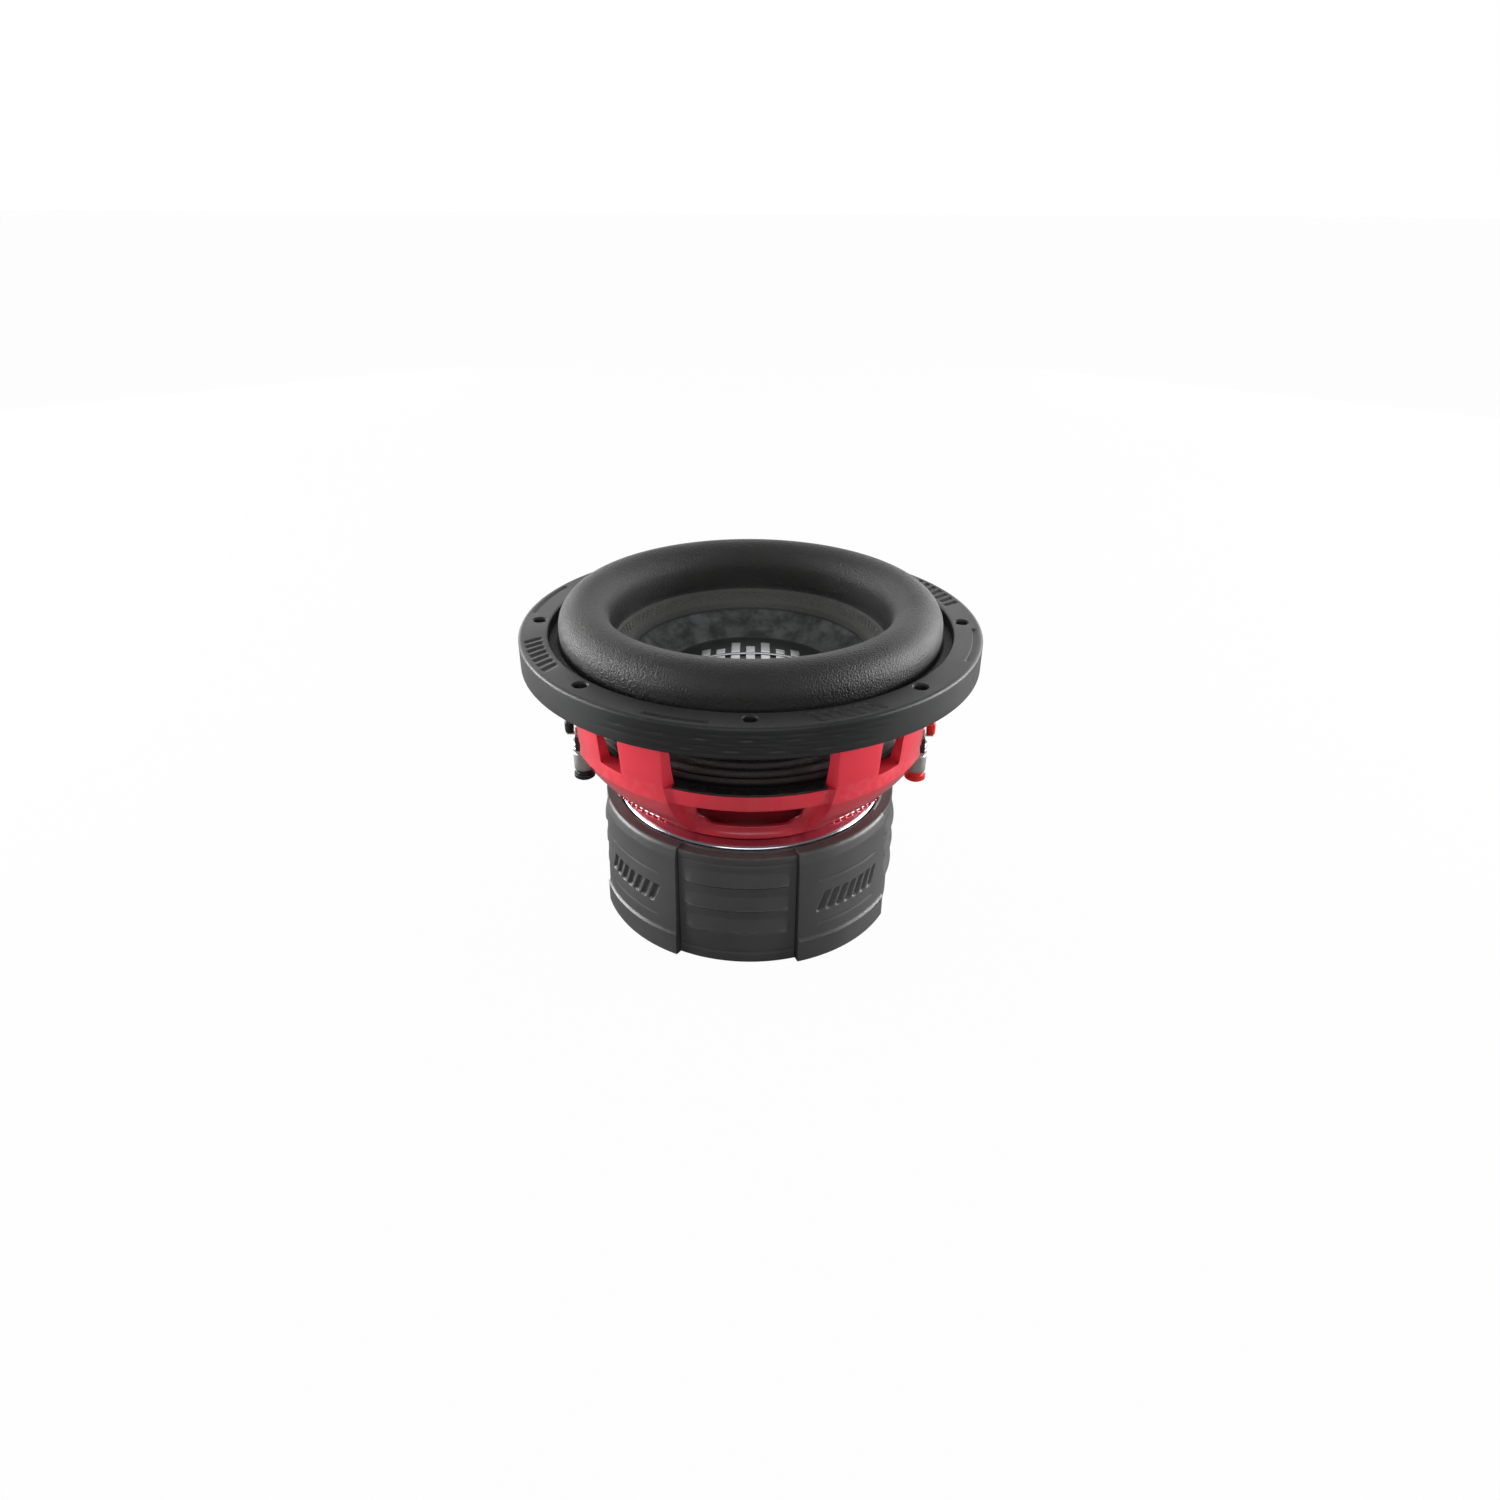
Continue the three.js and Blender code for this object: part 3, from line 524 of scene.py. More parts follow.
def revolve(name, profile, columns=192, relief=None):
    """Spins a closed outline. columns is how many steps to take, or the azimuths themselves."""
    profile = np.asarray(profile, float)
    turns = np.linspace(0.0, 360.0, columns, endpoint=False) if np.isscalar(columns) else np.asarray(columns)
    columns = len(turns)
    azimuth = turns[:, None] + np.zeros(len(profile))
    radius = np.zeros((columns, 1)) + profile[:, 0]
    height = np.zeros((columns, 1)) + profile[:, 1]
    if relief:
        radius, height = relief(azimuth, radius, height)
    x, y = on_circle(radius, azimuth)
    points = np.stack([x, y, height], axis=-1).reshape(-1, 3)
    return mesh_from(name, points, loop_faces(columns, len(profile)))


# %% Placing pieces on the frame
def add_piece(name, mesh, material, body, replaces=(), sharp=32.0):
    mesh.materials.clear()
    mesh.materials.append(material)
    mesh.shade_smooth()
    mesh.set_sharp_from_angle(angle=math.radians(sharp))
    piece = bpy.data.objects.new(name, mesh)
    bpy.context.scene.collection.objects.link(piece)
    if replaces:
        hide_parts(*replaces)
    if body:
        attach(piece, body)
    print("made", name, len(mesh.polygons), "faces")
    return piece


def as_object(name, mesh):
    helper = bpy.data.objects.new(name, mesh)
    bpy.context.scene.collection.objects.link(helper)
    return helper


def with_modifiers(mesh, *settings):
    """The mesh after modifiers, given as (kind, options), with nothing left in the scene."""
    helper = as_object("shaping", mesh)
    for kind, options in settings:
        modifier = helper.modifiers.new(kind.lower(), kind)
        for option, value in options.items():
            setattr(modifier, option, value)
    depsgraph = bpy.context.evaluated_depsgraph_get()
    result = bpy.data.meshes.new_from_object(helper.evaluated_get(depsgraph))
    bpy.data.objects.remove(helper)
    return result


def cut(mesh, *tools):
    """The mesh with the tools' solids taken away."""
    helpers = [as_object(f"tool_{i}", tool) for i, tool in enumerate(tools)]
    steps = [("BOOLEAN", {"operation": "DIFFERENCE", "solver": "MANIFOLD", "object": h}) for h in helpers]
    result = with_modifiers(mesh, *steps)
    for helper in helpers:
        bpy.data.objects.remove(helper)
    return result


def joined(*meshes):
    work = bmesh.new()
    for mesh in meshes:
        work.from_mesh(mesh)
    result = bpy.data.meshes.new("joined")
    work.to_mesh(result)
    work.free()
    return result


def moved(mesh, x=0.0, y=0.0, z=0.0, turn=0.0):
    """A copy of the mesh turned about the axis by degrees and moved by millimetres."""
    copy = mesh.copy()
    copy.transform(Matrix.Translation((x * MM, y * MM, z * MM)) @ Matrix.Rotation(math.radians(turn), 4, "Z"))
    return copy


def chamfered_drill(radius, low, high, chamfer=0.8, columns=32):
    """A drill with a small cone at its top, so that the hole it cuts has a broken edge."""
    return revolve("drill", [
        (0, low), (radius, low), (radius, high - chamfer), (radius + 2 * chamfer, high + chamfer),
        (0, high + chamfer),
    ], columns)


# %% [markdown]
# ## Mounting gasket
# The rim is a thick rubber ring that wraps the basket's flange. Its top face carries thin arc grooves and shallow
# slanted marks, and its side has faint moulding lines towards the front. All of that is relief on one fine grid.
# The eight bolt holes are cut afterwards with a drill that leaves a broken edge.

# %% Relief helpers
def bump_between(value, low, high, edge):
    """1 inside low..high, falling smoothly to 0 over edge outside it."""
    rise = np.clip((value - low + edge) / edge, 0, 1)
    fall = np.clip((high + edge - value) / edge, 0, 1)
    return (rise * rise * (3 - 2 * rise)) * (fall * fall * (3 - 2 * fall))


def away_from(azimuth, centre):
    """Signed degrees from centre, in -180..180."""
    return (azimuth - centre + 180.0) % 360.0 - 180.0


def slanted_bars(offset, across, count, pitch, width, lean, half_height, edge):
    """A row of leaning bars. offset runs along the row and across runs over it, both in millimetres."""
    leaned = offset - lean * across
    total = np.zeros_like(offset)
    for i in range(count):
        middle = (i - (count - 1) / 2) * pitch
        total = np.maximum(total, bump_between(leaned, middle - width / 2, middle + width / 2, edge))
    return total * bump_between(across, -half_height, half_height, edge)


# %% Mounting gasket
BOLT_CIRCLE, BOLT_HOLE = 102.5, 2.9
BOLT_TURNS = [45.0 * i for i in range(8)]
GASKET_INNER = 97.2
FOOT_OUTER = 98.7
SKIRT_INNER = radius_of("basket") + 0.3
GROOVE_INNER, GROOVE_OUTER, GROOVE_DEPTH = 106.6, 107.6, 0.7
MARK_CIRCLE, MARK_DEPTH, SIDE_LINE_DEPTH = 104.2, 0.6, 0.30
GROOVE_ARCS = ((-105.0, 10.0), (75.0, 10.0), (-16.5, 7.5), (163.5, 7.5))
BAR_MARKS = ((-67.0, 7), (22.5, 6), (112.5, 7), (-157.5, 6))
MOULD_LINES = (
    (1.9, -6.0, 15.0), (3.6, 5.0, 18.0), (5.1, -9.0, 22.0), (6.9, 8.0, 12.0), (8.6, -2.0, 26.0), (10.7, 10.0, 16.0),
)
gasket_corners = [
    (SKIRT_INNER, FLANGE_BOTTOM, 0.3), (RIM_RADIUS, FLANGE_BOTTOM, 0.5), (RIM_RADIUS, RIM_TOP, 1.5),
    (GASKET_INNER, RIM_TOP, 0.9), (GASKET_INNER, FLANGE_TOP + 2.9, 0.3), (FOOT_OUTER, FLANGE_TOP + 2.9),
    (FOOT_OUTER, FLANGE_TOP + 0.3), (SKIRT_INNER, FLANGE_TOP + 0.3),
]


def gasket_relief(azimuth, radius, height):
    on_top = bump_between(height, RIM_TOP - 0.05, RIM_TOP + 1, 0.2)
    depth = np.zeros_like(radius)
    for centre, half in GROOVE_ARCS:
        away = away_from(azimuth, centre)
        groove = bump_between(away, -half, half, 0.5) * bump_between(radius, GROOVE_INNER, GROOVE_OUTER, 0.5)
        depth = np.maximum(depth, GROOVE_DEPTH * groove)
    for centre, count in BAR_MARKS:
        along = np.radians(away_from(azimuth, centre)) * MARK_CIRCLE
        bars = slanted_bars(along, radius - MARK_CIRCLE, count, 5.4, 2.1, 0.45, 3.6, 0.5)
        depth = np.maximum(depth, MARK_DEPTH * bars)
    height = height - depth * on_top
    on_side = bump_between(radius, RIM_RADIUS - 0.05, RIM_RADIUS + 1, 0.2)
    lines = np.zeros_like(radius)
    for level, centre, half in MOULD_LINES:
        reach = bump_between(away_from(azimuth, centre), -half, half, 8.0)
        band = bump_between(height, FLANGE_BOTTOM + level, FLANGE_BOTTOM + level + 0.25, 0.5)
        lines = np.maximum(lines, band * reach)
    waver = 0.65 + 0.35 * np.sin(np.radians(azimuth) * 37 + height * 2.1)
    return radius - SIDE_LINE_DEPTH * lines * waver * on_side, height


gasket_mesh = revolve("gasket", divided(outline(gasket_corners), 0.62), 900, gasket_relief)
drills = [
    moved(chamfered_drill(BOLT_HOLE, FLANGE_TOP - 1.0, RIM_TOP), *on_circle(BOLT_CIRCLE, turn))
    for turn in BOLT_TURNS
]
gasket_mesh = cut(gasket_mesh, joined(*drills))
add_piece("mounting_gasket_ring", gasket_mesh, gasket_rubber, "frame", ("mounting_gasket",), 40.0)

# %% [markdown]
# ## Surround
# The surround is a fat half roll of rubber foam. Its outer foot is glued to the flange and its inner foot to the
# cone. The outline is drawn with true arcs. The inner foot then gets its stitched band: a raised diamond pattern
# between two ridges. When the cone moves, the outer foot stays and the inner foot travels; a share of each body is
# worked out from the radius but not stored.

# %% Surround
CONE_EDGE = radius_of("cone")
CONE_EDGE_TOP = top_of("cone")
CONE_SLOPE = 0.79
ROLL_CENTRE, ROLL_RADIUS, ROLL_WALL = 80.0, 12.2, 1.8
ROLL_LEVEL = top_of("surround") - ROLL_RADIUS
FOOT_EDGE = radius_of("surround")
INNER_FOOT = 58.5


def cone_top(radius):
    return CONE_EDGE_TOP - (CONE_EDGE - radius) * CONE_SLOPE


def surround_outline():
    foot = FLANGE_TOP + 0.3
    outer, inner = ROLL_CENTRE + ROLL_RADIUS, ROLL_CENTRE - ROLL_RADIUS
    hollow = ROLL_RADIUS - ROLL_WALL
    corners = [(FOOT_EDGE, foot, 0.3), (FOOT_EDGE, foot + 2.0, 0.6), (outer + 0.2, foot + 2.0, 1.4)]
    corners += arc((ROLL_CENTRE, ROLL_LEVEL), ROLL_RADIUS, 0, 180, 44)
    corners += [
        (inner, cone_top(inner) + 1.6, 2.6), (INNER_FOOT, cone_top(INNER_FOOT) + 1.5, 0.5),
        (INNER_FOOT, cone_top(INNER_FOOT) + 0.3), (inner + ROLL_WALL, cone_top(inner + ROLL_WALL) + 0.4),
    ]
    corners += arc((ROLL_CENTRE, ROLL_LEVEL), hollow, 180, 0, 24)
    corners += [(ROLL_CENTRE + hollow, foot, 0.3)]
    return divided(outline(corners), 0.85)


def stitched_band(azimuth, radius, height):
    """The sloping inner foot: a lip, a band of raised diamonds, a plain ring and a groove beside the cone."""
    on_foot = bump_between(height - cone_top(radius), 1.2, 2.6, 0.3) * bump_between(radius, 58.8, 67.2, 0.3)
    turn = np.radians(azimuth) * 56
    slant = (radius - 64.0) * 1.5
    diamonds = np.abs(np.sin(turn + slant)) * np.abs(np.sin(turn - slant))
    band = bump_between(radius, 62.6, 65.2, 0.4)
    lip, ring = bump_between(radius, 66.3, 66.8, 0.4), bump_between(radius, 60.4, 61.8, 0.4)
    groove = bump_between(radius, 59.0, 59.5, 0.4)
    return radius, height + on_foot * (1.1 * diamonds * band + 1.0 * lip + 0.5 * ring - 1.0 * groove)


def finer_between(points, low, high, longest):
    """Splits the sides of the outline that lie between two radii and on its upper skin."""
    result = []
    for i, here in enumerate(points):
        step = points[(i + 1) % len(points)] - here
        inside = low < here[0] < high and here[1] > cone_top(here[0]) + 1.1 and here[1] < cone_top(here[0]) + 3
        parts = max(1, math.ceil(np.linalg.norm(step) / longest)) if inside else 1
        result.extend(here + step * part / parts for part in range(parts))
    return np.array(result)


def blend_by_radius(piece, fixed_radius, moving_radius):
    """Works out two bodies' shares by distance from the axis, outer edge fixed and inner moving, but stores none."""
    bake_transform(piece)
    places = np.empty(len(piece.data.vertices) * 3)
    piece.data.vertices.foreach_get("co", places)
    places = places.reshape(-1, 3)
    reach = np.hypot(places[:, 0], places[:, 1]) / MM
    share = np.clip((fixed_radius - reach) / (fixed_radius - moving_radius), 0, 1)
    share = share * share * (3 - 2 * share)
    print(piece.name, "shares two bodies from radius", fixed_radius, "to", moving_radius)


surround_points = finer_between(surround_outline(), INNER_FOOT, 67.6, 0.6)
surround_mesh = revolve("surround", surround_points, 720, stitched_band)
surround = add_piece("surround_roll", surround_mesh, surround_rubber, None, ("surround",), 50.0)
blend_by_radius(surround, 91.0, 69.0)

# %% [markdown]
# ## Cone
# The cone is pressed paper fibre, pulled down to the voice coil. It is one turned sheet with a collar. A bead of
# glue runs where the dust cap meets it, and shallow waves keep its face from looking machined.


# %% Cone
def cone_relief(azimuth, radius, height):
    on_face = bump_between(height - cone_top(radius), -0.1, 0.1, 0.2)
    ripple = np.sin(np.radians(azimuth) * 5 + radius * 0.3) * np.sin(np.radians(azimuth) * 11 - radius * 0.5)
    bead = bump_between(radius, 44.4, 45.0, 0.5)
    return radius, height + on_face * (0.06 * ripple + 0.55 * bead)


def cone_outline():
    neck_low = foot_of("cone")
    collar = 31.9
    under = CONE_EDGE_TOP - 1.6
    return divided(outline([
        (collar, neck_low), (collar + 1.5, neck_low, 0.3), (collar + 1.5, cone_top(collar + 1.5) - 1.6, 0.6),
        (CONE_EDGE, under, 0.4), (CONE_EDGE, CONE_EDGE_TOP, 0.4), (collar, cone_top(collar), 0.3),
    ]), 0.9)


cone_mesh = revolve("cone", cone_outline(), 480, cone_relief)
add_piece("cone_body", cone_mesh, fibre, "cone_assembly", ("cone",), 40.0)

# %% [markdown]
# ## Dust cap and emblem
# The dust cap is a shallow rubber dome that closes the middle of the cone. Its edge is rolled over into a small
# lip. On it sits a row of silver equaliser bars. Each bar starts as a flat bevelled slab, and is then laid onto the
# dome.

# %% Dust cap
CAP_RADIUS = radius_of("dust_cap")
CAP_APEX = top_of("dust_cap")
CAP_RISE = 9.5
DOME_RADIUS = (CAP_RADIUS ** 2 + CAP_RISE ** 2) / (2 * CAP_RISE)


def dome_height(radius):
    return CAP_APEX - DOME_RADIUS + np.sqrt(DOME_RADIUS ** 2 - np.asarray(radius) ** 2)


def cap_relief(azimuth, radius, height):
    on_top = bump_between(height - dome_height(np.minimum(radius, CAP_RADIUS)), -0.2, 0.2, 0.3)
    lip = bump_between(radius, 42.2, 43.1, 0.5)
    step = bump_between(radius, 40.4, 40.7, 0.4)
    return radius, height + on_top * (0.5 * lip - 0.25 * step)


cap_radii = np.concatenate([np.linspace(0.0, 38.0, 40), np.linspace(38.3, CAP_RADIUS, 26)])
cap_outer = [(r, float(dome_height(r))) for r in cap_radii]
cap_inner = [(r, float(dome_height(r)) - 1.1) for r in cap_radii[::-1]]
cap_mesh = revolve("cap", cap_outer + cap_inner, 240, cap_relief)
add_piece("dust_cap_dome", cap_mesh, cap_rubber, "cone_assembly", ("dust_cap",), 50.0)


# %% Emblem bars
def slab(low, high, segments):
    """A box from low to high corners with its sides cut into segments."""
    xs, ys = (np.linspace(low[i], high[i], segments[i] + 1) for i in (0, 1))
    points, faces = [], []
    rows, count = len(ys), len(xs) * len(ys)
    for z in (low[2], high[2]):
        points += [(x, y, z) for x in xs for y in ys]
    for layer in (0, 1):
        for i in range(len(xs) - 1):
            for j in range(rows - 1):
                a = layer * count + i * rows + j
                faces.append((a, a + rows, a + rows + 1, a + 1))
    rim = [i * rows for i in range(len(xs))] + [(len(xs) - 1) * rows + j for j in range(1, rows)]
    rim += [i * rows + rows - 1 for i in range(len(xs) - 2, -1, -1)] + [j for j in range(rows - 2, 0, -1)]
    for here, after in zip(rim, rim[1:] + rim[:1]):
        faces.append((here, after, after + count, here + count))
    return mesh_from("slab", points, faces)


def bevelled(mesh, width, segments=2, angle=35.0):
    return with_modifiers(mesh, ("BEVEL", {
        "width": width * MM, "segments": segments, "limit_method": "ANGLE", "angle_limit": math.radians(angle),
    }))


BAR_PITCH, BAR_WIDTH, TALLEST = 7.4, 4.4, 17.0
bars = []
for i in range(7):
    x = (i - 3) * BAR_PITCH
    half = TALLEST * (1.0 if i % 2 == 0 else 0.55) * math.cos(math.radians(abs(i - 3) * 18))
    for low, high in ((-half, -1.5), (1.5, half)):
        bars.append(slab((x - BAR_WIDTH / 2, low, 0.0), (x + BAR_WIDTH / 2, high, 0.6), (4, 10)))
bars.append(slab((-3 * BAR_PITCH, -0.75, 0.0), (3 * BAR_PITCH, 0.75, 0.6), (36, 2)))
emblem_mesh = bevelled(joined(*bars), 0.16)
for vertex in emblem_mesh.vertices:
    reach = math.hypot(vertex.co.x, vertex.co.y) / MM
    vertex.co.z += (float(dome_height(reach)) + 0.3) * MM
add_piece("cap_emblem_bars", emblem_mesh, silver_trim, "cone_assembly", ("cap_emblem",), 30.0)

# %% [markdown]
# ## Spider
# The spider is the corrugated cloth disc that centres the coil. It shows as dark rings through the front window. A
# cosine makes the corrugations, and it fades out towards the glued rim and the neck.

# %% Spider
SPIDER_EDGE = radius_of("spider")
SPIDER_NECK = 31.9
FIRST_CREST, WAVE_PITCH = 39.7, 7.5
SPIDER_TOP = top_of("spider")
spider_middle, spider_swing = SPIDER_TOP - 1.75, 1.75
spider_radii = np.arange(SPIDER_NECK, SPIDER_EDGE + 0.01, 0.4)
fade = np.clip((spider_radii - 33.2) / 2.6, 0, 1) * np.clip((SPIDER_EDGE - 2.2 - spider_radii) / 2.8, 0, 1)
wave = np.cos(2 * np.pi * (spider_radii - FIRST_CREST) / WAVE_PITCH)
spider_heights = spider_middle - 0.6 * (1 - fade) + spider_swing * wave * fade
spider_skin = np.stack([spider_radii, spider_heights], axis=1)
spider_under = spider_skin[::-1] - np.array([0.0, 0.9])
spider_mesh = revolve("spider", np.concatenate([spider_skin, spider_under]), 360)
spider = add_piece("spider_cloth_disc", spider_mesh, cloth, None, ("spider",), 60.0)
blend_by_radius(spider, 78.0, 36.0)

# %% [markdown]
# ## Voice coil
# Copper wire is wound in a tight helix on a dark film tube. At this size the turns read as fine rings, so the
# winding's outline is a row of half rounds.

# %% Voice coil
wind_low, wind_high = span_of("voice_coil_winding")
wind_inner, wind_outer = 31.9, radius_of("voice_coil_winding")
wire_profile = [(wind_inner, wind_low), (wind_outer - 0.25, wind_low)]
turns = int((wind_high - wind_low) / 0.75)
for i in range(turns):
    level = wind_low + (i + 0.5) * (wind_high - wind_low) / turns
    wire_profile += [(wind_outer - 0.22, level - 0.32), (wind_outer, level), (wind_outer - 0.22, level + 0.32)]
wire_profile += [(wind_outer - 0.25, wind_high), (wind_inner, wind_high)]
add_piece("voice_coil_wire", revolve("wire", wire_profile, 144), copper_wire, "cone_assembly",
          ("voice_coil_winding",), 70.0)
former_low, former_high = span_of("voice_coil_former")
former_mesh = revolve("former", divided(outline([
    (31.0, former_low, 0.1), (31.6, former_low, 0.1), (31.6, former_high, 0.1), (31.0, former_high, 0.1),
]), 6.0), 144)
add_piece("voice_coil_tube", former_mesh, former_film, "cone_assembly", ("voice_coil_former",))

# %% [markdown]
# ## Basket
# The basket is cast metal under thick glossy paint. Its wall is a bowl with a landing ring halfway up, four wide
# windows, four slots between them and four low windows. The mesh is a cage whose columns and rows run exactly along
# every window edge. The window faces are taken out of both skins and the gap is walled in, which keeps every edge
# clean for the bevel. The low windows' bottom corners are rounded by bending the cage around them.

# %% Basket outline
BAR_RISE, LANDING_RISE, UPPER_RISE = 32.2, 39.3, 32.3
LANDING_TOP, BAR_BOTTOM = BASKET_FOOT + LANDING_RISE, BASKET_FOOT + BAR_RISE
LANDING_OUTER, LANDING_INNER, SHELF = 88.0, 78.5, 4.1
BOWL_WALL = 5.0
WINDOW_HEAD = FLANGE_BOTTOM - 2.0
LOW_WINDOW = BAR_BOTTOM - 19.4
LOW_SILL = LOW_WINDOW - 1.3
WIDE_HALF, LOW_HALF, SLOT_HALF = 24.0, 18.8, 4.8  # half widths of the openings, in degrees
LOW_CORNER, SLOT_DRAFT = 6.5, 2.8
BAR_RECESS, LOW_RECESS, FIELD_RECESS, INNER_STEP = 0.3, 4.6, 7.5, 3.0
SPOKE_PROUD = 1.4


def smooth_curve(points, count):
    """A Catmull-Rom curve through the points."""
    points = np.array(points, float)
    padded = np.concatenate([[2 * points[0] - points[1]], points, [2 * points[-1] - points[-2]]])
    result = []
    for step in np.linspace(0, len(points) - 1, count):
        i = min(int(step), len(points) - 2)
        t = step - i
        a, b, c, d = padded[i:i + 4]
        result.append(0.5 * (2 * b + (c - a) * t + (2 * a - 5 * b + 4 * c - d) * t * t
                             + (3 * b - a - 3 * c + d) * t ** 3))
    return np.array(result)


def at_heights(curve, heights):
    return [(float(np.interp(h, curve[:, 1], curve[:, 0])), float(h)) for h in heights]


lower_bowl = smooth_curve([
    (65.5, BASKET_FOOT + 0.09 * BAR_RISE), (74.5, BASKET_FOOT + 0.36 * BAR_RISE),
    (81.7, BASKET_FOOT + 0.64 * BAR_RISE), (LANDING_OUTER, BAR_BOTTOM),
], 60)
upper_bowl = smooth_curve([
    (LANDING_OUTER, LANDING_TOP), (90.56, LANDING_TOP + 0.36 * UPPER_RISE),
    (92.0, LANDING_TOP + 0.66 * UPPER_RISE), (96.0, FLANGE_BOTTOM - 1.5),
], 60)
lower_heights = np.linspace(LOW_WINDOW, BAR_BOTTOM, 7)
upper_heights = np.linspace(LANDING_TOP, WINDOW_HEAD, 15)
outer_low = at_heights(lower_bowl, lower_heights)
outer_high = at_heights(upper_bowl, upper_heights)
inner_low = [(r - BOWL_WALL, z) for r, z in outer_low]
inner_high = [(r - BOWL_WALL, z) for r, z in outer_high]
FLANGE_EDGE = radius_of("basket")
FLOOR_TOP = BASKET_FOOT + 6.0
MOTOR_BORE = 40.0
foot_rows = [(radius, BASKET_FOOT) for radius in (MOTOR_BORE, 48.0, 55.0, 61.6)]
foot_rows += at_heights(lower_bowl, [BASKET_FOOT + rise for rise in (3.0, 5.5, 8.0, 10.0)] + [LOW_SILL])
flange_rows = [
    (97.2, FLANGE_BOTTOM), (103.0, FLANGE_BOTTOM), (FLANGE_EDGE, FLANGE_BOTTOM), (FLANGE_EDGE, FLANGE_TOP),
    (103.0, FLANGE_TOP), (97.0, FLANGE_TOP), (91.5, FLANGE_TOP),
]
shelf_rows = [(LANDING_INNER, LANDING_TOP), (LANDING_INNER, LANDING_TOP - SHELF), (83.0, LANDING_TOP - SHELF)]
floor_rows = [(r - BOWL_WALL, z) for r, z in at_heights(lower_bowl, [LOW_SILL, LOW_WINDOW - 2.5])]
floor_rows += [(65.4, BASKET_FOOT + 8.2), (60.0, FLOOR_TOP), (50.0, FLOOR_TOP), (MOTOR_BORE, FLOOR_TOP)]
bar_rows = [(LANDING_OUTER, BAR_BOTTOM - 0.05)]
rows = foot_rows + outer_low + bar_rows + outer_high + flange_rows
rows += inner_high[::-1] + shelf_rows + inner_low[::-1] + floor_rows
start_low = len(foot_rows)
start_high = start_low + len(outer_low) + len(bar_rows)
back_high = start_high + len(outer_high) + len(flange_rows)
back_low = back_high + len(inner_high) + len(shelf_rows)
print("basket cage rows", len(rows))


# %% Basket cage
def column_angles():
    """Azimuths of the cage's columns: every window edge, and steps of at most two degrees between them."""
    edges = []
    for quarter in range(4):
        edges += [90 * quarter + a for a in (-WIDE_HALF, -23.5, -LOW_HALF, LOW_HALF, 23.5, WIDE_HALF)]
        edges += [90 * quarter + 45.0 - SLOT_HALF, 90 * quarter + 45.0 + SLOT_HALF]
    edges = sorted(e % 360 for e in edges)
    angles = []
    for here, after in zip(edges, edges[1:] + [edges[0] + 360]):
        parts = math.ceil((after - here) / 2.0)
        angles += [here + (after - here) * i / parts for i in range(parts)]
    return np.array(angles)


def rounded_corner(along, over, radius):
    """How far to move a point near a window's bottom corner. The window lies at along < 0, over > 0."""
    near = np.array([min(along, 0.0), max(over, 0.0)])
    if near[0] <= -radius or near[1] >= radius:
        return np.zeros(2)
    share = near[1] / radius if near[1] > 0 else near[0] / radius
    turn = math.radians(-45 + 45 * share)
    target = np.array([-radius + radius * math.cos(turn), radius + radius * math.sin(turn)])
    gap = math.hypot(along - near[0], over - near[1])
    fall = max(0.0, 1 - gap / 9.0)
    return (target - near) * fall * fall * (3 - 2 * fall)


def on_spoke(away):
    return abs(away) > WIDE_HALF - 0.05


def field_recess(away, height, skin):
    """How far the wall between two spokes stands back: a little at the bar, and more under it."""
    if on_spoke(away) or height > LANDING_TOP + 0.1 or skin == "none":
        return 0.0
    if skin == "bar":
        return BAR_RECESS
    levels = [BASKET_FOOT + 2.0, LOW_WINDOW - 4.0, BAR_BOTTOM]
    under = float(np.interp(height, levels, [0.0, LOW_RECESS, FIELD_RECESS]))
    return under if skin == "outer" else max(0.0, under - INNER_STEP)


def spoke_rise(away, height, row):
    """How far a spoke's face stands proud of the bar beside it."""
    on_face = start_low - 2 <= row < start_high + len(outer_high)
    if not (on_face and on_spoke(away)):
        return 0.0
    level = [BASKET_FOOT + 16, BAR_BOTTOM - 6, LANDING_TOP + 2, LANDING_TOP + 12]
    return float(np.interp(height, level, [0.0, SPOKE_PROUD, SPOKE_PROUD, 0.0]))


def skin_of(row):
    if start_low - 6 <= row < start_low + len(outer_low):
        return "outer"
    if row in (start_low + len(outer_low), start_high):
        return "bar"
    if back_low <= row < back_low + len(inner_low) + 3:
        return "inner"
    return "none"


def edge_flare(away, row):
    """Draft of the casting: window sides open outwards at the spokes and inwards at the slots, in degrees."""
    if start_low - 2 <= row < start_high + len(outer_high) and abs(abs(away) - WIDE_HALF) < 0.01:
        level = rows[row][1]
        return float(np.interp(level, [BASKET_FOOT + 10, BAR_BOTTOM, WINDOW_HEAD], [0.3, 1.5, 0.7]))
    slot = abs(away) - 45.0
    if back_high <= row < back_high + len(inner_high) and abs(abs(slot) - SLOT_HALF) < 0.01:
        return SLOT_DRAFT * math.copysign(1, slot)
    return 0.0


basket_columns = column_angles()
count = len(rows)
points = np.zeros((len(basket_columns), count, 3))
for i, azimuth in enumerate(basket_columns):
    nearest = round(azimuth / 90.0) * 90.0
    away = azimuth - nearest
    for j, (radius, height) in enumerate(rows):
        radius += spoke_rise(away, height, j) - field_recess(away, height, skin_of(j))
        shift, lift = radius * math.radians(edge_flare(away, j)), 0.0
        low_skin = start_low - 4 <= j < start_high or back_low <= j < back_low + len(inner_low) + 3
        if low_skin and abs(away) < 30:
            along = (abs(away) - LOW_HALF) * math.radians(1) * radius
            shift, lift = rounded_corner(along, height - LOW_WINDOW, LOW_CORNER)
        turned = nearest + math.copysign(abs(away) + math.degrees(shift / radius), away)
        x, y = on_circle(radius, turned)
        points[i, j] = (x, y, height + lift)


def between(azimuth, low, high):
    return all(low - 0.01 <= a <= high + 0.01 for a in azimuth)


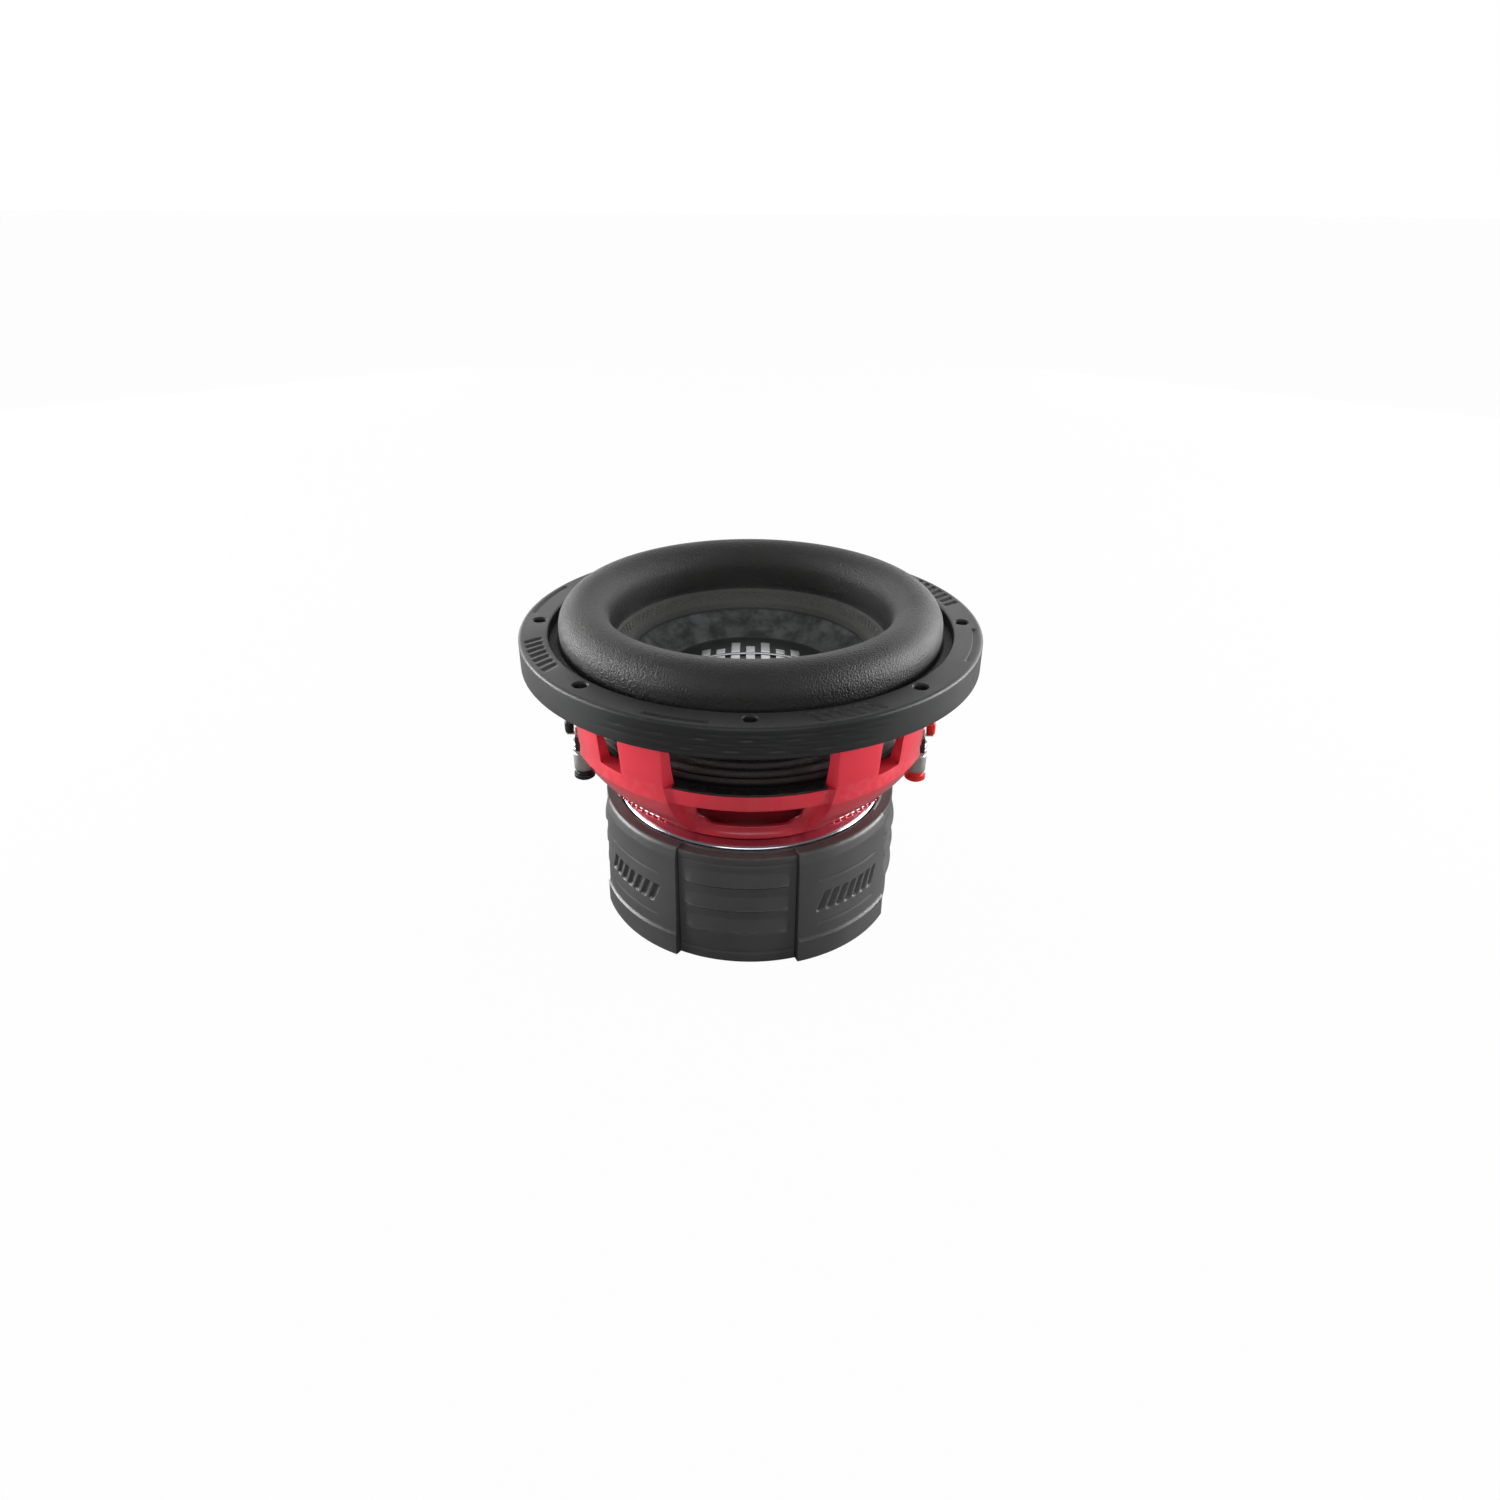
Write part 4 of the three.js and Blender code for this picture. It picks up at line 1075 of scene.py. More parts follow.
def window_rows(outer_start, inner_start, levels):
    """Pairs of matching rows on the two skins of a window's cells."""
    return [(outer_start + k, inner_start + levels - 2 - k) for k in range(levels - 1)]


low_pairs = window_rows(start_low, back_low, len(lower_heights))
high_pairs = window_rows(start_high, back_high, len(upper_heights))
open_cells = set()
for i, azimuth in enumerate(basket_columns):
    after = basket_columns[(i + 1) % len(basket_columns)]
    after = after + 360 if after < azimuth else after
    for pairs, spans in ((low_pairs, ((0, LOW_HALF),)), (high_pairs, ((0, WIDE_HALF), (45, SLOT_HALF)))):
        for middle, half in spans:
            offset = round((azimuth + after - 2 * middle) / 180.0) * 90.0 + middle
            if between((azimuth, after), offset - half, offset + half):
                open_cells |= {(i, j) for pair in pairs for j in pair}
print("cells opened for windows", len(open_cells))


def basket_faces():
    total = len(basket_columns)

    def corner(i, j):
        return (i % total) * count + j % count

    def is_open(i, j):
        return (i % total, j) in open_cells

    faces = []
    for i in range(total):
        for j in range(count):
            if not is_open(i, j):
                faces.append((corner(i, j), corner(i + 1, j), corner(i + 1, j + 1), corner(i, j + 1)))
    for pairs in (low_pairs, high_pairs):
        for order, (outer, inner) in enumerate(pairs):
            for i in range(total):
                if not is_open(i, outer):
                    continue
                for side, beyond in ((i, i - 1), (i + 1, i + 1)):
                    if not is_open(beyond, outer):
                        faces.append((corner(side, outer), corner(side, outer + 1), corner(side, inner),
                                      corner(side, inner + 1)))
                for at_end, near, far in ((0, outer, inner + 1), (len(pairs) - 1, outer + 1, inner)):
                    if order == at_end:
                        faces.append((corner(i, near), corner(i + 1, near), corner(i + 1, far), corner(i, far)))
    return faces


basket_mesh = mesh_from("basket", points.reshape(-1, 3), basket_faces())
basket_mesh = bevelled(basket_mesh, 0.7, 3, 38.0)
print("basket cage", len(basket_mesh.polygons), "faces")

# %% [markdown]
# ### Glue on the landing
# Black glue holds the spider on the landing ring. It spreads outwards over the ledge of each wide window, so that
# no red shows above the bar there. Each bead is a low slab bent round the axis, with a slightly wavy top.


# %% Landing glue
def glue_bead(middle, half, inner, outer, low, high):
    section = divided(outline([(inner, low), (outer, low, 0.1), (outer, high, 0.35), (inner, high, 0.35)]), 0.8)
    azimuth = middle + np.linspace(-half, half, 61)
    points = np.zeros((len(azimuth), len(section), 3))
    for i, turn in enumerate(azimuth):
        waver = 0.12 * math.sin(turn * 0.9) + 0.08 * math.sin(turn * 2.3)
        x, y = on_circle(section[:, 0], turn)
        points[i, :, 0], points[i, :, 1] = x, y
        points[i, :, 2] = section[:, 1] + waver * (section[:, 1] > low + 0.2)
    size = len(section)
    faces = [(i * size + j, (i + 1) * size + j, (i + 1) * size + (j + 1) % size, i * size + (j + 1) % size)
             for i in range(len(azimuth) - 1) for j in range(size)]
    faces += [tuple(range(size)), tuple((len(azimuth) - 1) * size + j for j in range(size))]
    return mesh_from("glue", points.reshape(-1, 3), faces)


beads = [glue_bead(90.0 * q, 23.3, SPIDER_EDGE + 0.2, 87.5, LANDING_TOP + 0.05, LANDING_TOP + 1.0) for q in range(4)]
add_piece("landing_glue", joined(*beads), black_plastic, "frame")

# %% [markdown]
# ### Holes, pockets and cast ribs
# The bolt holes, the screw holes and the pockets over the terminal buttons are cut into the finished casting. A fan
# of small cast ribs stands at the foot of each pair of spokes.

# %% Basket holes and ribs
POST_SPACING = 14.0
SCREW_CIRCLE = float(np.hypot(*centre_of("basket_screw_1")[:2]))
SCREW_TURNS, SCREW_HOLE, BUTTON_POCKET, BLOCK_SCREW_HOLE = (45, 135, 225, 315), 2.35, 5.9, 1.8


def rod_mesh(radius, low, high, columns=40):
    return revolve("rod", [(0, low), (radius, low), (radius, high), (0, high)], columns)


basket_tools = []
for turn in BOLT_TURNS:
    x, y = on_circle(BOLT_CIRCLE, turn)
    basket_tools.append(moved(rod_mesh(BOLT_HOLE, FLANGE_BOTTOM - 3, FLANGE_TOP + 3), x, y))
for turn in SCREW_TURNS:
    x, y = on_circle(SCREW_CIRCLE, turn)
    basket_tools.append(moved(rod_mesh(SCREW_HOLE, BASKET_FOOT - 2, FLOOR_TOP + 4, 24), x, y))
for side in ("left", "right"):
    for colour in ("red", "black"):
        x, y, _ = centre_of(f"{side}_{colour}_terminal_button")
        basket_tools.append(moved(rod_mesh(BUTTON_POCKET, BASKET_FOOT + 1, BAR_BOTTOM), x, y))
    for index in (1, 2):
        x, y, _ = centre_of(f"{side}_block_screw_{index}")
        basket_tools.append(moved(rod_mesh(BLOCK_SCREW_HOLE, BAR_BOTTOM - 2, BAR_BOTTOM + 4.6, 20), x, y))
basket_mesh = cut(basket_mesh, joined(*basket_tools))
small_rib = bevelled(slab((-0.45, 0.0, 0.0), (0.45, 4.2, 1.1), (1, 4)), 0.2)
RIB_PITCH, RIB_LEVEL, RIB_LEAN = 2.9, BASKET_FOOT + 8.4, -38
rib_radius = float(np.interp(RIB_LEVEL, lower_bowl[:, 1], lower_bowl[:, 0]))
ribs = []
for quarter in range(4):
    for k in range(10):
        azimuth = 45 + 90 * quarter + (k - 4.5) * RIB_PITCH
        rib = small_rib.copy()
        lean = Matrix.Rotation(math.radians(RIB_LEAN), 4, "X")
        place = Matrix.Translation((0, -rib_radius * MM, RIB_LEVEL * MM))
        rib.transform(Matrix.Rotation(math.radians(azimuth), 4, "Z") @ place @ lean @ Matrix.Rotation(math.pi, 4, "Z")
                      @ Matrix.Translation((0, 0, -0.0006)))
        ribs.append(rib)
add_piece("basket_casting", joined(basket_mesh, *ribs), red_paint, "frame", ("basket",), 30.0)

# %% [markdown]
# ## Magnet boot
# A thick rubber boot is pulled over the magnets. Four plain panels stand proud of it, and between them lie four
# ribbed panels. Each rib is a wedge: flush at its top, proud at its bottom, with a sharp step underneath. The wall
# is one height field over azimuth and height, with closer columns beside each seam so that the seams stay crisp.

# %% Boot outline and columns
BOOT_TOP = top_of("magnet_boot")
BOOT_TWIST = -4.7
RECESSED, LIP, BOOT_BORE, MAGNET_ROOM = 74.8, 68.6, 58.0, 72.9
BOOT_SHELF = BOOT_TOP - 0.9
PANEL_HALF = 22.5
RIB_STEPS, RIB_RISE, RIB_NOTCH = (19.3, 32.2, 46.0), 1.7, 1.2
PANEL_RISE = (3.4, 3.4, 2.6, 1.6, 0.7, -0.2)
PANEL_LEVELS = (0, 12.0, 13.6, BOOT_TOP - 6, BOOT_TOP - 2.3, BOOT_SHELF)
MARK_LEVEL, BOOT_MARK_DEPTH, DOT_LEVELS = 33.0, 1.5, (20.5, 45.5)


def seam_columns():
    """Azimuths half a degree apart, and a tenth of a degree apart beside each seam."""
    angles = list(np.arange(0, 360, 0.5))
    for quarter in range(4):
        for sign in (-1, 1):
            seam = BOOT_TWIST + 90 * quarter + sign * PANEL_HALF
            angles += list(seam + np.linspace(-0.8, 0.8, 17))
    return np.unique(np.round(np.array(angles) % 360, 3))


def boot_profile():
    wall_heights = np.concatenate([np.linspace(0.9, 14.4, 22), np.linspace(15.0, BOOT_SHELF - 0.5, 80)])
    profile = [(BOOT_BORE, 1.7), (BOOT_BORE, 0.0), (64.0, 0.0), (70.0, 0.0)]
    profile += [(RECESSED - 1.0, 0.0), (RECESSED - 0.3, 0.3)]
    profile += [(RECESSED, float(h)) for h in wall_heights]
    profile += [(RECESSED - 0.2, BOOT_SHELF - 0.12), (RECESSED - 0.6, BOOT_SHELF), (RECESSED - 1.6, BOOT_SHELF)]
    profile += [(float(r), BOOT_SHELF) for r in np.linspace(72.4, 69.9, 4)]
    profile += [(69.6, BOOT_SHELF + 0.4), (69.2, BOOT_SHELF + 0.7)]
    profile += [(LIP + 0.3, BOOT_SHELF + 0.7), (LIP, BOOT_SHELF + 0.3)]
    plate_low = foot_of("top_plate")
    profile += [(LIP, 57.0), (LIP, plate_low), (MAGNET_ROOM, plate_low), (MAGNET_ROOM, 30.0)]
    profile += [(MAGNET_ROOM, 13.7), (LIP, 13.7), (LIP, 1.7)]
    return np.array(profile)


# %% Boot relief
def wedge(height, step):
    """A rib's rise at this height: sharp under the step and fading out above it."""
    above = height - step
    return np.where((above >= 0) & (above < 7.5), 1.0 - above / 7.5, 0.0) * np.clip((above + 0.35) / 0.35, 0, 1)


def boot_relief(azimuth, radius, height):
    quarter_away = (azimuth - BOOT_TWIST + 45.0) % 90.0 - 45.0
    past_seam = np.abs(quarter_away) - PANEL_HALF
    panel = np.clip(past_seam / 0.2, 0, 1)
    on_wall = bump_between(radius, 74.0, 76.0, 0.8)
    rise = np.interp(height, PANEL_LEVELS, PANEL_RISE)
    rise = rise + 0.5 * bump_between(height, 12.2, 12.9, 0.4)
    taper = np.clip((19.6 - np.abs(quarter_away)) / 3.0, 0, 1)
    ribs = sum(wedge(height, step) for step in RIB_STEPS) * RIB_RISE * np.sqrt(taper)
    notches = sum(bump_between(height, step - 1.1, step - 0.6, 0.5) for step in RIB_STEPS)
    ribs = ribs - RIB_NOTCH * notches * np.sqrt(taper)
    border = 0.35 * bump_between(height, 57.6, 58.2, 0.5) + 0.3 * bump_between(height, 6.0, 6.6, 0.5)
    along = np.radians(np.abs(quarter_away) - 45.0) * np.sign(quarter_away) * 78.0
    marks = slanted_bars(along, height - MARK_LEVEL, 7, 5.6, 2.2, 0.42, 4.6, 0.8)
    dots = np.zeros_like(radius)
    for level in DOT_LEVELS:
        dots = np.maximum(dots, bump_between(height, level, level + 0.6, 0.4) * bump_between(along, -19, 19, 0.6))
    seam = np.clip(1 - np.abs(past_seam) / 0.35, 0, 1)
    plain = (1 - panel) * (ribs - border)
    raised = panel * (rise - BOOT_MARK_DEPTH * marks - 0.3 * dots)
    lift = 0.9 * panel * bump_between(radius, 69.7, 80, 0.2) * np.clip((height - 55) / 7, 0, 1)
    return radius + on_wall * (plain + raised - 1.0 * seam * (height > 0.5)), height + lift


boot_mesh = revolve("boot", boot_profile(), seam_columns(), boot_relief)
add_piece("magnet_boot_rubber", boot_mesh, boot_rubber, "frame", ("magnet_boot",), 40.0)

# %% [markdown]
# ## Motor plates
# The top plate is a thick zinc-plated steel washer. Its chamfered edge is the bright line between the basket and
# the boot. The pole and back plate are one forging with a flared vent through the middle. Both are turned with
# small radii at their corners, because a real edge always catches some light.

# %% Top plate, pole and back plate
plate_low = foot_of("top_plate")
PLATE_BORE = 35.0
plate_mesh = revolve("top plate", divided(outline([
    (PLATE_BORE, plate_low, 0.4), (PLATE_RADIUS, plate_low, 0.4), (PLATE_RADIUS, PLATE_TOP, 1.5),
    (PLATE_BORE, PLATE_TOP, 0.4),
], 10), 4.0), 360)
screw_drills = [
    moved(rod_mesh(SCREW_HOLE, PLATE_TOP - 9.6, PLATE_TOP + 2, 24), *on_circle(SCREW_CIRCLE, turn))
    for turn in SCREW_TURNS
]
add_piece("top_plate_steel", cut(plate_mesh, joined(*screw_drills)), plated_steel, "frame", ("top_plate",))
BACK_LOW, POLE_TOP = span_of("pole_and_back_plate")
BACK_HIGH, POLE_RADIUS, VENT_RADIUS, VENT_MOUTH = 14.0, 30.2, 12.0, 19.8
pole_mesh = revolve("pole", divided(outline([
    (VENT_MOUTH, BACK_LOW, 0.3), (PLATE_RADIUS, BACK_LOW, 0.8), (PLATE_RADIUS, BACK_HIGH, 0.8),
    (POLE_RADIUS, BACK_HIGH, 0.8), (POLE_RADIUS, POLE_TOP, 1.0), (VENT_RADIUS, POLE_TOP, 1.6),
    (VENT_RADIUS, BACK_LOW + 9.2, 3.0), (VENT_MOUTH, BACK_LOW + 1.4, 0.4),
]), 5.0), 288)
add_piece("pole_and_back_plate_steel", pole_mesh, plated_steel, "frame", ("pole_and_back_plate",))


# %% Vent screen
def vent_screen():
    """A thin disc with rings of round holes, cut with one joined set of drills."""
    low, high = span_of("vent_screen")
    disc = revolve("screen", outline([(0, low), (19.5, low, 0.2), (19.5, high, 0.2), (0, high)]), 120)
    drill = rod_mesh(1.15, low - 1, high + 1, 14)
    drills = [drill]
    for ring in range(1, 6):
        for k in range(6 * ring):
            drills.append(moved(drill, *on_circle(3.25 * ring, 360 * k / (6 * ring))))
    return cut(disc, joined(*drills))


add_piece("vent_screen_mesh", vent_screen(), black_steel, "frame", ("vent_screen",))


# %% Magnets and the shorting ring stay as the CAD made them
def dress(node, material, bevel=0.0):
    """Gives a CAD node a finish, and softens its edges with a modifier."""
    piece = bpy.data.objects[node]
    if not piece.material_slots:
        piece.data.materials.append(material)
    for slot in piece.material_slots:
        slot.material = material
    if bevel:
        softened = piece.modifiers.new("soft edges", "BEVEL")
        softened.width = bevel * MM
        softened.segments = 2
        softened.limit_method = "ANGLE"
        softened.angle_limit = math.radians(35)
    print("dressed", node, "with", material.name)


for node in ("lower_magnet", "upper_magnet"):
    dress(node, ferrite, 0.5)
dress("shorting_ring", turned_aluminium, 0.3)

# %% [markdown]
# ## Screws and nuts
# A socket screw holds the basket at four places. Its head is turned with a rounded edge, and a hexagonal pocket is
# cut into it. A knurl of small flutes runs round the head. The nuts on the terminal studs are made with the
# terminals.


# %% Basket screws
def hexagon(across, low, high):
    return revolve("hexagon", [(0, low), (across, low), (across, high), (0, high)], 6)


def fluted(depth, count, low, high, reach):
    def relief(azimuth, radius, height):
        flute = 0.5 + 0.5 * np.cos(np.radians(azimuth) * count)
        on_side = bump_between(height, low, high, 0.3) * bump_between(radius, reach - 0.15, reach + 1, 0.1)
        return radius - depth * flute * on_side, height
    return relief


def socket_screw(head_radius, seat, head_top, shank_radius, tip, socket):
    profile = divided(outline([
        (0, tip), (shank_radius, tip, 0.3), (shank_radius, seat), (head_radius, seat, 0.2),
        (head_radius, head_top, 0.5), (0, head_top),
    ]), 0.8)
    body = revolve("screw", profile, 96, fluted(0.16, 24, seat + 0.7, head_top - 0.9, head_radius))
    return cut(body, hexagon(socket, head_top - 2.4, head_top + 1))


for i in range(1, 5):
    node = f"basket_screw_{i}"
    x, y, _ = centre_of(node)
    screw = socket_screw(half_width(node), FLOOR_TOP + 0.3, top_of(node), 2.0, foot_of(node), 2.1)
    add_piece(f"{node}_steel", moved(screw, x, y), black_steel, "frame", (node,))

# %% [markdown]
# ## Push terminals
# Each side carries a red and a black push terminal. A nickel post hangs under the landing ring, with a hole through
# it for the wire. A coloured button slides up inside the post against a coil spring. A nut on the stud clamps the
# post, the block and a solder lug together, and a braided lead leaves the lug for the cone.


# %% Posts and buttons
def cross_drill(radius, level, turn):
    """A rod that lies flat at this level, drilled right through a post."""
    rod = rod_mesh(radius, -9, 9, 28)
    rod.transform(Matrix.Rotation(math.radians(turn), 4, "Z") @ Matrix.Translation((0, 0, level * MM))
                  @ Matrix.Rotation(math.radians(90), 4, "X"))
    return rod


def terminal_post(low, high, stud_top):
    profile = [(4.3, low + 0.2), (4.5, low), (4.8, low), (5.0, low + 0.3)]
    profile += [(5.0, low + 9.2), (4.65, low + 9.6), (4.65, low + 10.1), (5.0, low + 10.5)]
    profile += [(5.0, low + 12.4), (4.65, low + 12.8), (4.65, low + 13.3), (5.0, low + 13.7)]
    profile += [(5.0, high - 0.5), (4.6, high), (1.5, high)]
    for k in range(int((stud_top - high - 0.6) / 0.5)):
        level = high + 0.4 + 0.5 * k
        profile += [(1.5, level), (1.28, level + 0.25)]
    profile += [(1.5, stud_top - 0.3), (1.2, stud_top), (0, stud_top), (0, high - 4.0), (4.3, high - 4.0)]
    return revolve("post", divided(np.array(profile), 2.0), 72)


def terminal_button(low, cap_top, stem_top, wire_level, turn):
    profile = divided(outline([
        (0, low), (4.2, low, 0.6), (5.4, low + 0.9, 0.5), (5.4, cap_top - 0.2, 0.3), (4.0, cap_top, 0.2),
        (4.0, stem_top, 0.3), (0, stem_top),
    ]), 0.9)
    body = revolve("button", profile, 96, fluted(0.14, 30, low + 1.2, cap_top - 0.6, 5.35))
    return cut(body, cross_drill(1.5, wire_level, turn))


# %% Springs and leads
def frames_along(path, side):
    """Two unit directions across a path at each of its points."""
    tangent = np.gradient(path, axis=0)
    tangent /= np.linalg.norm(tangent, axis=1)[:, None]
    across = np.cross(tangent, side)
    across /= np.linalg.norm(across, axis=1)[:, None]
    return across, np.cross(tangent, across)


def swept(path, side, sides, radius_at):
    """A closed tube along the path. radius_at gives its radius from the distance along it and the turn round it."""
    across, over = frames_along(path, side)
    travelled = np.concatenate([[0], np.cumsum(np.linalg.norm(np.diff(path, axis=0), axis=1))])
    turn = np.linspace(0, 2 * np.pi, sides, endpoint=False)
    radius = radius_at(travelled[:, None], turn[None, :])
    ring = across[:, None] * np.cos(turn)[None, :, None] + over[:, None] * np.sin(turn)[None, :, None]
    points = (path[:, None] + ring * radius[..., None]).reshape(-1, 3)
    faces = []
    for i in range(len(path) - 1):
        for j in range(sides):
            k = (j + 1) % sides
            faces.append((i * sides + j, i * sides + k, (i + 1) * sides + k, (i + 1) * sides + j))
    faces.append(tuple(range(sides)))
    faces.append(tuple((len(path) - 1) * sides + j for j in range(sides)))
    return mesh_from("swept", points, faces)


def coil_spring(low, high, radius, wire, turns):
    t = np.linspace(0, 1, int(turns * 28))
    angle = 2 * np.pi * turns * t
    rise = low + wire + (high - low - 2 * wire) * t
    path = np.stack([radius * np.cos(angle), radius * np.sin(angle), rise], axis=1)
    return swept(path, (0, 0, 1), 10, lambda along, turn: wire + 0 * along * turn)


def braid(radius, lay, strands):
    """Two sets of strands that wind opposite ways and stand up where each is on top."""
    def radius_at(along, turn):
        one = np.abs(np.sin(strands * turn / 2 + along * lay))
        two = np.abs(np.sin(strands * turn / 2 - along * lay))
        return radius - 0.2 + 0.2 * np.maximum(one, two)
    return radius_at


def lead_path(x, start_radius, start_height):
    """The lead's route on the front side, before its side of the basket is turned to face outwards."""
    over = LANDING_TOP + 3.4
    knots = np.array([
        (x, -start_radius, start_height), (x, -start_radius + 0.6, start_height + 4), (x, -87.5, over + 1),
        (x * 1.05, -76.5, over + 3.4), (x, -60, over + 5), (x * 0.8, -47, over + 4.6), (x * 0.7, -36.0, over + 3),
    ])
    padded = np.concatenate([[2 * knots[0] - knots[1]], knots, [2 * knots[-1] - knots[-2]]])
    result = []
    for i in range(len(knots) - 1):
        p = padded[i:i + 4]
        t = np.concatenate([[0], np.cumsum(np.sqrt(np.linalg.norm(np.diff(p, axis=0), axis=1)))])
        for s in np.linspace(t[1], t[2], 26, endpoint=i == len(knots) - 2):
            a = [((t[k + 1] - s) * p[k] + (s - t[k]) * p[k + 1]) / (t[k + 1] - t[k]) for k in range(3)]
            b = [((t[k + 2] - s) * a[k] + (s - t[k]) * a[k + 1]) / (t[k + 2] - t[k]) for k in range(2)]
            result.append(((t[2] - s) * b[0] + (s - t[1]) * b[1]) / (t[2] - t[1]))
    return np.array(result)


# %% Terminals on both sides
SIDES = {"left": -90.0, "right": 90.0}
POSTS = {"red": -POST_SPACING / 2, "black": POST_SPACING / 2}
WIRE_HOLE_RISE, CLAMP_DROP, BUTTON_TRAVEL = 3.0, 15.7, 2.2
plastics = {"red": (red_plastic, "red_plastic"), "black": (black_plastic, "black_plastic")}


def solder_lug(low, high, reach):
    """A washer with a flat tongue that reaches out towards the lead."""
    washer = revolve("washer", outline([
        (1.8, low, 0.1), (3.4, low, 0.12), (3.4, high, 0.12), (1.8, high, 0.1),
    ]), 64)
    tongue = bevelled(slab((-1.5, -reach, low + 0.05), (1.5, -2.4, high - 0.05), (1, 4)), 0.15)
    return joined(washer, tongue)


def hex_nut(radius, low, high):
    body = revolve("nut", [(1.85, low), (radius, low), (radius, high), (1.85, high)], 6)
    crown = revolve("crown", [
        (0, low - 1), (radius - 0.6, low - 1), (radius + 0.5, low + 0.8), (radius + 0.5, high - 0.8),
        (radius - 0.6, high + 1), (0, high + 1),
    ], 64)
    helper = as_object("crown", crown)
    result = with_modifiers(body, ("BOOLEAN", {"operation": "INTERSECT", "solver": "MANIFOLD", "object": helper}))
    bpy.data.objects.remove(helper)
    return result


def lead_sleeve(low, high):
    return revolve("sleeve", divided(outline([
        (0, low), (2.1, low, 0.3), (2.3, low + 2.0, 0.4), (2.3, high - 2.0, 0.4), (1.7, high, 0.4), (0, high),
    ]), 1.0), 48)


def add_terminal(side, turn, colour, local_x):
    """The seven pieces of one terminal, each at its node's own height."""
    label = f"{side}_{colour}"
    post, button, spring = (f"{label}_terminal_{part}" for part in ("post", "button", "spring"))
    nut, lug = f"{label}_terminal_nut", f"{label}_solder_lug"
    sleeve, lead = f"{label}_lead_sleeve", f"{label}_tinsel_lead"
    plastic, plastic_slot = plastics[colour]
    x, y, _ = centre_of(button)
    low = foot_of(post)
    wire_level = low + WIRE_HOLE_RISE
    post_mesh = cut(terminal_post(low, LANDING_TOP - CLAMP_DROP, top_of(post)), cross_drill(1.7, wire_level, turn))
    add_piece(f"{label}_post_nickel", moved(post_mesh, x, y), nickel_plate, "frame", (post,), 40.0)
    button_low, button_top = span_of(button)
    button_mesh = terminal_button(button_low, button_low + 3.0, button_top, wire_level - BUTTON_TRAVEL, turn)
    add_piece(f"{label}_button_cap", moved(button_mesh, x, y), plastic, f"{label}_button", (button,),
              40.0)
    spring_low, spring_high = span_of(spring)
    coil = add_piece(f"{label}_coil_spring", moved(coil_spring(spring_low, spring_high, 3.35, 0.26, 3.2), x, y),
                     black_steel, None, (spring,), 60.0)
    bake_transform(coil)
    sleeve_x, sleeve_y, _ = centre_of(sleeve)
    reach = math.hypot(sleeve_x - x, sleeve_y - y) + 1.3
    add_piece(f"{label}_lug_plate", moved(solder_lug(*span_of(lug), reach), x, y, turn=turn), nickel_plate, "frame",
              (lug,))
    add_piece(f"{label}_hex_nut", moved(hex_nut(3.15, *span_of(nut)), x, y, turn=turn), nickel_plate, "frame",
              (nut,))
    add_piece(f"{label}_sleeve_plastic", moved(lead_sleeve(*span_of(sleeve)), sleeve_x, sleeve_y), plastic, "frame",
              (sleeve,))
    path = lead_path(local_x, abs(sleeve_x), top_of(sleeve) + 0.3)
    lead_mesh = moved(swept(path, (1, 0, 0), 24, braid(1.1, 2.4, 8)), turn=turn)
    braided = add_piece(f"{label}_braided_lead", lead_mesh, tinsel_wire, None, (lead,), 70.0)
    blend_by_radius(braided, 86.0, 40.0)


for side, side_turn in SIDES.items():
    for colour, local_x in POSTS.items():
        add_terminal(side, side_turn, colour, local_x)

# %% Terminal blocks and their screws
for side in SIDES:
    dress(f"{side}_terminal_block", black_plastic, 0.6)
    for index in (1, 2):
        node = f"{side}_block_screw_{index}"
        x, y, _ = centre_of(node)
        head = half_width(node)
        low, high = span_of(node)
        profile = divided(outline([
            (0, low), (head - 0.6, low, 0.3), (head, low + 1.0, 0.4), (head, low + 1.7, 0.2), (1.5, low + 1.7),
            (1.5, high - 1.0), (0.7, high, 0.2), (0, high),
        ]), 1.2)
        cross = [slab((-1.5, -0.32, low - 1), (1.5, 0.32, low + 0.9), (1, 1)),
                 slab((-0.32, -1.5, low - 1), (0.32, 1.5, low + 0.9), (1, 1))]
        screw = cut(cut(revolve("block screw", profile, 48), cross[0]), cross[1])
        add_piece(f"{node}_steel", moved(screw, x, y), black_steel, "frame", (node,))

# %% [markdown]
# ## Floor and light
# The floor is a wide sheet of studio paper that glows to the camera, so it reads as white. The light is a studio
# tent: white paper low down behind and a darker room all round. Six soft boxes stand in it. The pair at the sides
# draws the long highlights on the roll of the surround, a weak pair behind lights its back, and one over and one in
# front fill.


# %% Floor
FLOOR_GLOW, GLOW_SHARE = 1.03, 0.95


def add_floor():
    corners = [(-6000, -4000, 0), (6000, -4000, 0), (6000, 9000, 0), (-6000, 9000, 0)]
    mesh = mesh_from("floor", corners, [(0, 1, 2, 3)])
    material, tree, shader = new_material("studio paper")
    mottle = noise(tree, own_place(tree), 3.0, 4.0)
    paper = blend_colours(tree, mottle, (0.15, 0.15, 0.15), (0.17, 0.17, 0.17))
    tree.links.new(paper, shader.inputs["Base Color"])
    shader.inputs["Roughness"].default_value = 0.9
    glow = put(tree, "ShaderNodeEmission", {"Color": (1.0, 1.0, 1.0, 1.0), "Strength": FLOOR_GLOW})
    seen = put(tree, "ShaderNodeLightPath").outputs["Is Camera Ray"]
    share = calc(tree, "MULTIPLY", seen, GLOW_SHARE)
    mix = put(tree, "ShaderNodeMixShader", {0: share, 1: shader.outputs[0], 2: glow.outputs[0]})
    tree.links.new(mix.outputs[0], tree.nodes["Material Output"].inputs["Surface"])
    mesh.materials.append(material)
    floor = as_object("studio_floor", mesh)


add_floor()


# %% Studio light
BACKDROP, ROOM_LOW, ROOM_HIGH = 1.5, 0.13, 0.22


